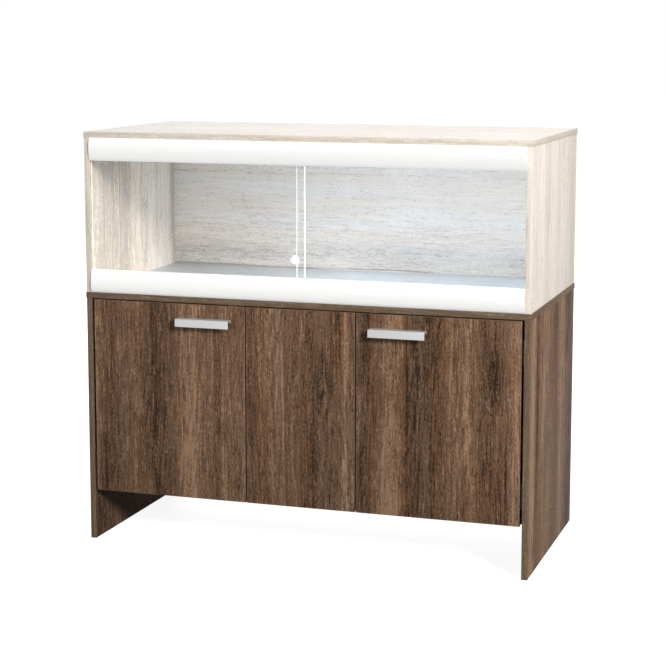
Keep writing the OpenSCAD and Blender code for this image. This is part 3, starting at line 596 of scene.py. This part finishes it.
def hardboardMaterial():
    # thin brown board of pressed fibres
    material, shader = newMaterial("hardboard")
    place = placeOn(shader)
    fibres = noise(place, *hardboardSet["fibres"])
    clouds = noise(place, *hardboardSet["clouds"])
    base = mixColours(ramp(fibres, *hardboardSet["fibreRange"]), *hardboardSet["fibreColours"])
    patches = mixColours(ramp(clouds, *hardboardSet["cloudRange"]), *hardboardSet["cloudColours"])
    fill(shader, {
        "Base Color": mixColours(1.0, base, patches, "MULTIPLY"),
        "Roughness": hardboardSet["roughness"],
    })
    bumpInto(shader, fibres, hardboardSet["bump"])
    return material


glassSet = {
    "colour": (0.995, 1.0, 1.0, 1), "bend": 1.5, "roughness": 0.0, "smear": 0.012,
    "shadow": (0.74, 0.74, 0.73, 1),  # what the panes leave of the lamps' light
}


def glassMaterial():
    # float glass that lets the lamps' light through; faint smears change its gloss
    material, shader = newMaterial("clear glass")
    tree = material.node_tree
    fill(shader, {
        "Base Color": glassSet["colour"], "Transmission Weight": 1.0, "IOR": glassSet["bend"],
        "Roughness": smeared(placeOn(shader), glassSet["roughness"], glassSet["smear"]),
    })
    clear = addNode("BsdfTransparent", {"Color": glassSet["shadow"]}, tree).outputs[0]
    isShadow = addNode("LightPath", {}, tree).outputs["Is Shadow Ray"]
    mix = addNode("MixShader", {0: isShadow, 1: shader.outputs[0], 2: clear})
    fill(tree.nodes["Material Output"], {"Surface": mix.outputs[0]})
    return material


speckled = {
    "beech": {
        "specks": ((240, 240, 240), 3.0, 0.6), "range": (0.35, 0.65), "roughness": 0.6, "bump": 0.0001,
        "colours": (colour(196, 156, 112), colour(222, 188, 146)),
    },
    "ground glass edge with painted glow": {  # its faint glow is painted light, for the light the pane carries to its pale ground rim
        "specks": ((800, 800, 800), 2.0), "roughness": 0.5, "bump": 0.00003, "power": 0.4,
        "colours": (colour(214, 232, 226), colour(244, 250, 248)),
    },
    "light diffuser": {  # milky, with the light of the chips behind it
        "specks": ((30, 60, 60), 2.0), "roughness": 0.45, "glow": (0.73, 0.86, 1.0, 1), "power": 96.0,
        "colours": (colour(232, 240, 248), colour(246, 250, 255)),
    },
}


def speckledMaterial(name):
    # two colours mixed by a noise
    values = speckled[name]
    material, shader = newMaterial(name)
    specks = noise(placeOn(shader), *values["specks"])
    share = ramp(specks, *values["range"]) if "range" in values else specks
    tone = mixColours(share, *values["colours"])
    fill(shader, {"Base Color": tone, "Roughness": values["roughness"]})
    if "power" in values:
        glow = values.get("glow", tone)
        fill(shader, {"Emission Color": glow, "Emission Strength": values["power"]})
    if "bump" in values:
        bumpInto(shader, specks, values["bump"])
    return material


materials = {
    "satin_aluminium": drawnMaterial("satin aluminium", colour(197, 196, 197), 0.45, metal=0.65,
                                     stretch=(5, 900, 900), depth=0.00002, spread=0.14, fade=0.93),
    # near black: partly the dark bronze finish and partly painted shade, so the hinge knuckles in the
    # door gaps read as shade
    "bronze_steel": plainMaterial("dark bronze steel and painted gap shade", colour(27, 23, 20), 0.6, metal=0.2,
                                  grit=0.00002, mottle=0.2, gloss=0.15),
    "zinc_steel": plainMaterial("zinc steel", colour(196, 198, 200), 0.30, metal=1.0,
                                grit=0.00002, mottle=0.15),
    "white_plastic": plainMaterial("white plastic", colour(240, 240, 238), 0.42),
    "outlet": plainMaterial("outlet plastic", colour(253, 253, 252), 0.5, mottle=0.01),
    "fascia": drawnMaterial("white fascia", colour(253, 253, 252), 0.32, metal=0.0,
                            stretch=(2, 300, 300), depth=0.00001, spread=0.05, fade=0.985),
    "grey_plastic": plainMaterial("grey plastic", colour(170, 171, 172), 0.5),
    "hardboard": hardboardMaterial(),
    "beech": speckledMaterial("beech"),
    "clear_glass": glassMaterial(),
    "glass_edge": speckledMaterial("ground glass edge with painted glow"),
    "light_diffuser": speckledMaterial("light diffuser"),
    "led_board": plainMaterial("led board", colour(236, 238, 236), 0.5),
    "led_chip": plainMaterial("led chip", colour(246, 226, 150), 0.3),
}
print("materials made")


def toData(name, mesh):
    data = bpy.data.meshes.new(name)
    mesh.to_mesh(data)
    mesh.free()
    return data


def finishPiece(mesh, name, materialList, node, smooth=30):
    # the bmesh becomes an object that stands for the CAD node and rides on its body
    data = toData(name, mesh)
    if "custom_normal" in data.attributes:  # left from the CAD mesh, and wrong for new faces
        data.attributes.remove(data.attributes["custom_normal"])
    for material in materialList:
        data.materials.append(material)
    for face in data.polygons:
        face.use_smooth = True
    data.set_sharp_from_angle(angle=math.radians(smooth))
    piece = addObject(name, data)
    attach(piece, bodyOf[node])
    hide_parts(node)


meshCare = {
    "weld": 1e-5,  # corners nearer than this become one
    "level": 1e-6,  # places that differ by less than this are the same
    "sliver": 2e-6,  # edges shorter than this are taken out
    "flat": 0.4,  # degrees between triangles that are one face
    "straight": 0.2,  # degrees between edges that are one edge
    "square": 0.99,  # a face looks along an axis when its normal has this share there
    "sharp": 50,  # degrees from which an edge is rounded
}


def weldedCopy(node):
    # a CAD mesh is loose triangles: weld them and join those that share a plane
    mesh = bmesh.new()
    mesh.from_mesh(nodes[node].data)
    bmesh.ops.remove_doubles(mesh, verts=mesh.verts, dist=meshCare["weld"])
    bmesh.ops.dissolve_limit(mesh, angle_limit=math.radians(meshCare["flat"]), verts=mesh.verts,
                             edges=mesh.edges)
    for face in mesh.faces:
        face.material_index = 0
    return mesh


def bevelEdges(mesh, edges, size, segments=2):
    bmesh.ops.bevel(mesh, geom=edges, offset=size, offset_type="OFFSET", affect="EDGES",
                    segments=segments, profile=0.5, material=-1, clamp_overlap=True)
    # bevels that meet halfway leave faces of no area
    bmesh.ops.dissolve_degenerate(mesh, dist=meshCare["sliver"], edges=mesh.edges)


def spanOf(verts):
    # the low and the high corner of the box round some vertices
    spans = [[vert.co[axis] for vert in verts] for axis in range(3)]
    return Vector([min(span) for span in spans]), Vector([max(span) for span in spans])


def outlineEdges(mesh):
    # the edges on the outline of the board's box, but not those of its grooves and holes
    low, high = spanOf(mesh.verts)

    def onRim(vert, axis):
        return min(abs(vert.co[axis] - low[axis]), abs(vert.co[axis] - high[axis])) < meshCare["weld"]

    def liesIn(edge, axis):
        start, end = edge.verts
        level = abs(start.co[axis] - end.co[axis]) < meshCare["weld"]
        return level and onRim(start, axis) and onRim(end, axis)
    return [edge for edge in mesh.edges if sum(liesIn(edge, axis) for axis in range(3)) >= 2]


boardArris = {"walnut": 0.0006, "oak": 0.0006, "pale oak": 0.0003, "grey": 0.0004}


def makeBoard(node):
    # two faces with the printed figure, bands on the narrow sides and an arris round them all
    board = boards[node]
    wood, grain, across = board["wood"], board["grain"], board["across"]
    through, edgeWood = thirdAxis(grain, across), edgeWoods[wood]
    band = {"slice": board["slice"], "shade": board.get("bandShade", 0.0)}
    end = {"slice": board["slice"]}
    finishes = {
        through: woodMaterial(node + " face", wood, grain, across, board),
        across: woodMaterial(node + " band", edgeWood, grain, through, band),
        grain: woodMaterial(node + " end", edgeWood, across, through, end),
    }
    order = list(finishes)
    mesh = weldedCopy(node)
    bevelEdges(mesh, outlineEdges(mesh), boardArris[wood])
    mesh.normal_update()
    for face in mesh.faces:
        sizes = [abs(part) for part in face.normal]
        most = max(sizes)
        square = most > meshCare["square"]
        face.material_index = order.index("XYZ"[sizes.index(most)]) if square else len(order)
    finishPiece(mesh, node + "_board", list(finishes.values()) + [edgings[wood]], node)


for node in boards:
    makeBoard(node)
print("boards made,", len(boards))


def addLoop(mesh, points):
    verts = [mesh.verts.new(point) for point in points]
    return verts, [mesh.edges.new((verts[i - 1], verts[i])) for i in range(len(verts))]


def vertsOf(parts):
    return [part for part in parts if isinstance(part, bmesh.types.BMVert)]


def widthOf(edge):
    return abs(edge.verts[0].co.x - edge.verts[1].co.x)


def extrudeOutline(loops, x0, x1):
    # closed loops of (y, z) points, the first one outside and the others holes, drawn out along X
    mesh = bmesh.new()
    edges = []
    for loop in loops:
        edges += addLoop(mesh, [(x0, y, z) for y, z in loop])[1]
    bmesh.ops.triangle_fill(mesh, use_beauty=True, use_dissolve=False, edges=edges)
    grown = bmesh.ops.extrude_face_region(mesh, geom=mesh.faces[:])["geom"]
    bmesh.ops.translate(mesh, verts=vertsOf(grown), vec=(x1 - x0, 0, 0))
    bmesh.ops.dissolve_limit(mesh, angle_limit=math.radians(meshCare["straight"]), verts=mesh.verts,
                             edges=[edge for edge in mesh.edges if widthOf(edge) == 0])
    bmesh.ops.recalc_face_normals(mesh, faces=mesh.faces)
    return mesh


def arc(centre, radius, start, end, steps):
    turns = [math.radians(start + (end - start) * i / steps) for i in range(steps + 1)]
    u, v = centre
    return [(u + radius * math.cos(turn), v + radius * math.sin(turn)) for turn in turns]


fascia = {
    "bow": 0.006, "wall": 0.0016, "setback": 0.006, "channelWidth": 0.0046,
    "lowerChannel": 0.008, "upperChannel": 0.018, "steps": 56, "lipRound": 0.0005,
    "skew": 0.8, "fullness": 0.7,  # below 1: the bow is deepest near its outer lip, and blunt
    "plug": 0.001, "plugInset": 0.0002, "slip": 0.00005, "longEdge": 0.1,
}


def fasciaFront(share):
    # the bow's depth from the outer lip, share 0, to the edge at the glass, share 1
    rise = max(0.0, math.sin(math.pi * share ** fascia["skew"]))
    return -fascia["bow"] * rise ** fascia["fullness"]


def bowInside(height, wall, top):
    # the inner face of the bow, from the wall at its foot up to top
    steps = fascia["steps"]
    heights = [wall + (top - wall) * i / steps for i in range(steps + 1)]
    return [(fasciaFront(v / height) + wall, v) for v in heights]


def fasciaLoops(height, depth, channel):
    steps, wall = fascia["steps"], fascia["wall"]
    innerTop = height - channel - wall
    rear = fascia["setback"] + fascia["channelWidth"] + wall
    outer = [(fasciaFront(i / steps), height * i / steps) for i in range(steps + 1)]
    for start in (fascia["setback"], rear):
        end = start + fascia["channelWidth"]
        outer += [(start, height), (start, height - channel), (end, height - channel), (end, height)]
    outer += [(depth, height), (depth, 0)]
    inner = bowInside(height, wall, innerTop) + [(depth - wall, innerTop), (depth - wall, wall)]
    return [outer, inner]


def plugLoop(height, channel):
    # what closes the hollow of the bow at the ends, in front of the blocks
    wall = fascia["wall"] + fascia["slip"]
    innerTop = height - channel - wall
    return bowInside(height, wall, innerTop) + [(wall, innerTop), (wall, wall)]


def mergeInto(mesh, extra):
    carrier = toData("carrier", extra)
    mesh.from_mesh(carrier)
    bpy.data.meshes.remove(carrier)


def makeFascia(node, channel, upsideDown):
    low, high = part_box(node)
    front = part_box("vivarium_right_side")[0].y
    depth = high.y - front
    height = high.z - low.z

    def place(loop):
        return [(front + u, high.z - v if upsideDown else low.z + v) for u, v in loop]
    mesh = extrudeOutline([place(loop) for loop in fasciaLoops(height, depth, channel)], low.x, high.x)
    plug = place(plugLoop(height, channel))
    near = fascia["plugInset"]
    far = near + fascia["plug"]
    for x0, x1 in ((low.x + near, low.x + far), (high.x - far, high.x - near)):
        mergeInto(mesh, extrudeOutline([plug], x0, x1))
    lips = [edge for edge in mesh.edges if widthOf(edge) > fascia["longEdge"]
            and all(abs(vert.co.y - front) < meshCare["level"] for vert in edge.verts)]
    bevelEdges(mesh, lips, fascia["lipRound"], 3)
    finishPiece(mesh, node + "_extrusion", [materials["fascia"]], node, smooth=20)


makeFascia("bottom_fascia", fascia["lowerChannel"], False)
makeFascia("top_fascia", fascia["upperChannel"], True)
print("fascias made")

handle = {
    "plate": 0.003, "lip": 0.004, "root": 0.008, "rootLength": 0.004, "slope": 2.4,
    "corner": 0.0022, "cornerSteps": 8, "tip": 0.0014, "fillet": 0.0015, "roundSteps": 5,
    "endRound": 0.0014,
}


def makeHandle(node):
    # the root at the door, a lip out from it, a rounded corner and the plate that hangs down
    low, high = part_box(node)
    reach, height = high.y - low.y, high.z - low.z
    corner, tip, fillet, lip = handle["corner"], handle["tip"], handle["fillet"], handle["lip"]
    root, rootLength, steps = handle["root"], handle["rootLength"], handle["roundSteps"]
    back = -reach + handle["plate"]
    outline = [(0, 0)]
    outline += arc((-reach + corner, -corner), corner, 90, 180, handle["cornerSteps"])
    outline += arc((-reach + tip, -height + tip), tip, 180, 270, steps)
    outline += arc((back - tip, -height + tip), tip, 270, 360, steps)
    outline += arc((back + fillet, -lip - fillet), fillet, 180, 90, steps)
    outline += [(-rootLength * handle["slope"], -lip), (-rootLength, -root), (0, -root)]
    mesh = extrudeOutline([[(high.y + u, high.z + v) for u, v in outline]], low.x, high.x)
    ends = [edge for edge in mesh.edges if widthOf(edge) < meshCare["level"]]
    bevelEdges(mesh, ends, handle["endRound"], 3)
    finishPiece(mesh, node + "_pull", [materials["satin_aluminium"]], node, smooth=35)


makeHandle("left_handle")
makeHandle("right_handle")
print("handles made")

glass = {"arris": 0.0012}


def makeGlass(node):
    low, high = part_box(node)
    mesh = bmesh.new()
    bmesh.ops.create_cube(mesh, size=1)
    bmesh.ops.scale(mesh, verts=mesh.verts, vec=high - low)
    bmesh.ops.translate(mesh, verts=mesh.verts, vec=(high + low) / 2)
    bevelEdges(mesh, mesh.edges[:], glass["arris"], 1)
    mesh.normal_update()
    for face in mesh.faces:
        face.material_index = 0 if abs(face.normal.y) > meshCare["square"] else 1
    panes = [materials["clear_glass"], materials["glass_edge"]]
    finishPiece(mesh, node + "_pane", panes, node, smooth=10)


makeGlass("left_glass")
makeGlass("right_glass")

lamp = {
    "wall": 0.0015, "steps": 40, "board": 0.001, "slip": 0.0001,
    "rounds": {"end_caps": 0.0008, "housing": 0.0004, "clips": 0.0002},
}


def makeDiffuser():
    # a bowed cover of one wall, whose two sides stand in the housing
    low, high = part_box("light_bar_diffuser")
    half = (high.y - low.y) / 2
    middle = (high.y + low.y) / 2
    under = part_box("light_bar_housing")[0].z
    drop = under - low.z
    wall, steps = lamp["wall"], lamp["steps"]

    def bowl(halfWidth, depth):
        turns = [math.pi + math.pi * i / steps for i in range(steps + 1)]
        return [(middle + halfWidth * math.cos(turn), under + depth * math.sin(turn)) for turn in turns]
    outline = bowl(half, drop) + [(middle + half, high.z), (middle + half - wall, high.z)]
    outline += bowl(half - wall, drop - wall)[::-1]
    outline += [(middle - half + wall, high.z), (middle - half, high.z)]
    mesh = extrudeOutline([outline], low.x, high.x)
    finishPiece(mesh, "light_bar_diffuser_cover", [materials["light_diffuser"]], "light_bar_diffuser")


def softCopy(node, size):
    # the CAD shape with its sharp outer edges rounded
    mesh = weldedCopy(node)
    sharp = [edge for edge in mesh.edges if len(edge.link_faces) == 2 and edge.is_convex
             and edge.calc_face_angle(0) > math.radians(meshCare["sharp"])]
    bevelEdges(mesh, sharp, size)
    finishPiece(mesh, node + "_part", [materials[slotOf[node]]], node, smooth=35)


def makeLedBoard():
    # the chips under the board get their yellow phosphor
    mesh = weldedCopy("light_bar_led_board")
    low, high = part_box("light_bar_led_board")
    under = high.z - lamp["board"] - lamp["slip"]
    for face in mesh.faces:
        face.material_index = 1 if face.calc_center_median().z < under else 0
    finishPiece(mesh, "light_bar_led_strip", [materials["led_board"], materials["led_chip"]],
                "light_bar_led_board")


makeDiffuser()
makeLedBoard()
for part, size in lamp["rounds"].items():
    softCopy("light_bar_" + part, size)
print("glass and light bar made")

catchRounds = {"catch": 0.0006, "strike_plate": 0.00025}
hingeRounds = {"side_leaf": 0.00025, "door_leaf": 0.00025, "pin": 0.0005}

for side in ("left", "right"):
    for part, size in catchRounds.items():
        softCopy(side + "_" + part, size)
    for level in ("upper", "lower"):
        for part, size in hingeRounds.items():
            softCopy(level + "_" + side + "_hinge_" + part, size)
print("catches, strike plates and hinges made")

grommet = {
    "bore": 0.010, "sleeve": 0.012, "flange": 0.0016, "round": 0.0008, "roundSteps": 6,
    "lip": 0.0004, "lipSteps": 4, "steps": 96,
}


def makeGrommet():
    # a turned ring: flange on the inside of the back panel, sleeve through it
    low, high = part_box("cable_grommet")
    centre = Vector(((low.x + high.x) / 2, 0, (low.z + high.z) / 2))
    rim, bore, sleeve = (high.x - low.x) / 2, grommet["bore"], grommet["sleeve"]
    front, rear, seat = low.y, high.y, low.y + grommet["flange"]
    curve, lip = grommet["round"], grommet["lip"]
    outline = arc((rim - curve, front + curve), curve, -90, 0, grommet["roundSteps"])
    outline += [(rim, seat), (sleeve, seat), (sleeve, rear - lip), (sleeve - lip, rear), (bore, rear)]
    outline += arc((bore + lip, front + lip), lip, 180, 270, grommet["lipSteps"])
    mesh = bmesh.new()
    verts, edges = addLoop(mesh, [(centre.x + radius, depth, centre.z) for radius, depth in outline])
    bmesh.ops.spin(mesh, geom=verts + edges, cent=centre, axis=(0, 1, 0), angle=math.tau,
                   steps=grommet["steps"], use_merge=True)
    bmesh.ops.recalc_face_normals(mesh, faces=mesh.faces)
    finishPiece(mesh, "cable_grommet_ring", [materials["outlet"]], "cable_grommet")


makeGrommet()

screw = {
    "sides": 36, "armReach": 0.58, "armHalf": 0.13, "recess": 0.50, "recessTaper": 0.55, "tip": 0.3,
    # outlines from the rim of the head inwards: shares of the head's radius, and of its height
    "countersunk": {"top": 0.95, "steps": [(1.0, 0.10), (1.0, 0.16)], "height": 0.0015},
    "pan": {
        "top": 0.62, "steps": [(0.84, 0.10), (0.96, 0.32), (1.0, 0.55), (1.0, 1.0)], "height": 0.0024,
    },
    # which corners of a CAD screw are its shank's and its head's: shares of its widest radius
    "shankFrom": 0.2, "headFrom": 0.95,
}


def looseParts(mesh):
    # corners that hang together, always in the same order
    seen, parts = set(), []
    for first in mesh.verts:
        part = [] if first in seen else [first]
        for vert in part:
            seen.add(vert)
            near = [link.other_vert(vert) for link in vert.link_edges]
            part += [other for other in near if other not in seen and other not in part]
        if part:
            parts.append(part)
    return parts


def closeLoop(mesh, edges):
    bmesh.ops.triangle_fill(mesh, use_beauty=True, use_dissolve=True, edges=edges)


def growRim(mesh, edges, share, drop):
    # draw a rim on: its radius times share, and down by drop
    grown = bmesh.ops.extrude_edge_only(mesh, edges=edges)["geom"]
    verts = vertsOf(grown)
    bmesh.ops.scale(mesh, verts=verts, vec=(share, share, 1))
    bmesh.ops.translate(mesh, verts=verts, vec=(0, 0, -drop))
    return [part for part in grown if isinstance(part, bmesh.types.BMEdge)]


def turnScrew(kind, radius, shank, length):
    # head up, its top at z = 0, with a cross recess and a plain shank that the wood hides
    shape = screw[kind]
    mesh = bmesh.new()
    bmesh.ops.create_circle(mesh, radius=radius * shape["top"], segments=screw["sides"])
    rim = mesh.edges[:]
    reach, half = radius * screw["armReach"], radius * screw["armHalf"]
    corners = []
    for turn in range(4):
        quarter = Matrix.Rotation(math.radians(90 * turn), 3, "Z")
        arm = ((reach, -half, 0), (reach, half, 0), (half, half, 0))
        corners += [quarter @ Vector(corner) for corner in arm]
    cross = addLoop(mesh, corners)[1]
    closeLoop(mesh, rim + cross)
    closeLoop(mesh, growRim(mesh, cross, screw["recessTaper"], radius * screw["recess"]))
    width, depth = shape["top"], 0.0
    for share, down in shape["steps"]:
        rim = growRim(mesh, rim, share / width, (down - depth) * shape["height"])
        width, depth = share, down
    slope = shape["height"] if kind == "countersunk" else depth * shape["height"]
    rim = growRim(mesh, rim, shank / (radius * width), slope - depth * shape["height"])
    rim = growRim(mesh, rim, 1, length - slope - shank)
    closeLoop(mesh, growRim(mesh, rim, screw["tip"], shank))
    bmesh.ops.recalc_face_normals(mesh, faces=mesh.faces)
    return mesh


def makeScrews(node, kind):
    # one turned screw in the place of each solid of the CAD node
    source = weldedCopy(node)
    whole = bmesh.new()
    for part in looseParts(source):
        low, high = spanOf(part)
        middle, size = (low + high) / 2, high - low
        axis = max(range(3), key=lambda i: size[i])
        along = Vector([float(i == axis) for i in range(3)])

        def spread(vert):
            offset = vert.co - middle
            return (offset - along * offset.dot(along)).length
        radius = max(spread(vert) for vert in part)
        shank = min(spread(vert) for vert in part if spread(vert) > radius * screw["shankFrom"])
        headSide = sum((vert.co - middle).dot(along) for vert in part
                       if spread(vert) > radius * screw["headFrom"])
        outwards = along if headSide > 0 else -along
        single = turnScrew(kind, radius, shank, size[axis])
        turned = outwards.to_track_quat("Z", "Y").to_matrix().to_4x4()
        place = Matrix.Translation(middle + outwards * size[axis] / 2) @ turned
        bmesh.ops.transform(single, matrix=place, verts=single.verts)
        mergeInto(whole, single)
    source.free()
    finishPiece(whole, node + "_turned", [materials["zinc_steel"]], node, smooth=40)


for node in ("cabinet_screws", "vivarium_screws", "left_door_screws", "right_door_screws"):
    makeScrews(node, "countersunk")
for node in ("left_handle_screws", "right_handle_screws"):
    makeScrews(node, "pan")
print("screws made")

for node, slot in slotOf.items():
    if not nodes[node].hide_render:  # no piece replaces it: it keeps its shape and gets a finish
        nodes[node].data.materials.clear()
        nodes[node].data.materials.append(materials[slot])
print("CAD nodes dressed")

lamps = {
    "key": {
        "place": (7.5, -7.0, 4.9), "size": 2.0, "power": 1110, "tint": (1.0, 0.988, 0.97), "gloss": True,
    },
    "side": {
        "place": (4.6, -0.6, 1.6), "size": 1.6, "power": 20, "tint": (1.0, 0.985, 0.965), "gloss": True,
    },
    "back": {
        "place": (-2.6, 4.9, 2.4), "size": 2.5, "power": 190, "tint": (1.0, 0.99, 0.98), "gloss": False,
    },
    "top": {
        "place": (0.0, 0.2, 4.2), "size": 2.2, "power": 35, "tint": (0.97, 0.985, 1.0), "gloss": True,
    },
    "front": {
        "place": (-2.2, -4.3, 0.8), "size": 3.0, "power": 68, "tint": (0.98, 0.99, 1.0), "gloss": False,
    },
}
stageSet = {
    "aim": (0, 0, 0.55), "white": (1, 1, 1, 1), "ambient": 0.22,
    "floorShown": 0.50, "floorGlow": 0.90, "floorBounce": 0.06, "floorRoughness": 0.9,
    "floorSize": 60, "floorGap": 0.0002,
}


def seenDirectly(tree):
    # 1 for what the camera, a gloss or clear glass shows, and 0 for light on its way to matt surfaces
    rays = addNode("LightPath", {}, tree).outputs
    through = calc("MAXIMUM", rays["Is Glossy Ray"], rays["Is Transmission Ray"])
    direct = calc("MULTIPLY", through, calc("LESS_THAN", rays["Diffuse Depth"], 0.5))
    return calc("MAXIMUM", rays["Is Camera Ray"], direct)


def makeLamp(name, values):
    data = bpy.data.lights.new(name, "AREA")
    data.shape, data.size = "DISK", values["size"]
    data.energy, data.color = values["power"], values["tint"]
    stand = addObject(name, data)
    stand.location = values["place"]
    towards = Vector(stageSet["aim"]) - stand.location
    stand.rotation_euler = towards.to_track_quat("-Z", "Y").to_euler()
    stand.visible_glossy = stand.visible_transmission = values["gloss"]


def makeWorld():
    # white where it is seen, and a soft ambient light on the object
    world = bpy.data.worlds.new("studio")
    world.use_nodes = True
    scene.world = world
    strength = ramp(seenDirectly(world.node_tree), 0.0, 1.0, stageSet["ambient"], 1.0)
    background = world.node_tree.nodes["Background"]
    fill(background, {"Color": stageSet["white"], "Strength": strength})


def makeFloor():
    # white where it is seen, but for the object's shadow
    mesh = bmesh.new()
    bmesh.ops.create_grid(mesh, x_segments=2, y_segments=2, size=stageSet["floorSize"] / 2)
    bmesh.ops.translate(mesh, verts=mesh.verts, vec=(0, 0, cadLow.z - stageSet["floorGap"]))
    data = toData("floor", mesh)
    floor = addObject("floor", data)
    material, shader = newMaterial("floor")
    shown = seenDirectly(material.node_tree)
    fill(shader, {
        "Base Color": ramp(shown, 0.0, 1.0, stageSet["floorBounce"], stageSet["floorShown"]),
        "Roughness": stageSet["floorRoughness"], "Specular IOR Level": 0.0,
        "Emission Color": stageSet["white"],
        "Emission Strength": calc("MULTIPLY", shown, stageSet["floorGlow"]),
    })
    data.materials.append(material)


makeCamera()
for lampName, lampValues in lamps.items():
    makeLamp(lampName, lampValues)
makeWorld()
makeFloor()
scene.view_settings.view_transform = "Standard"
print("stage made")
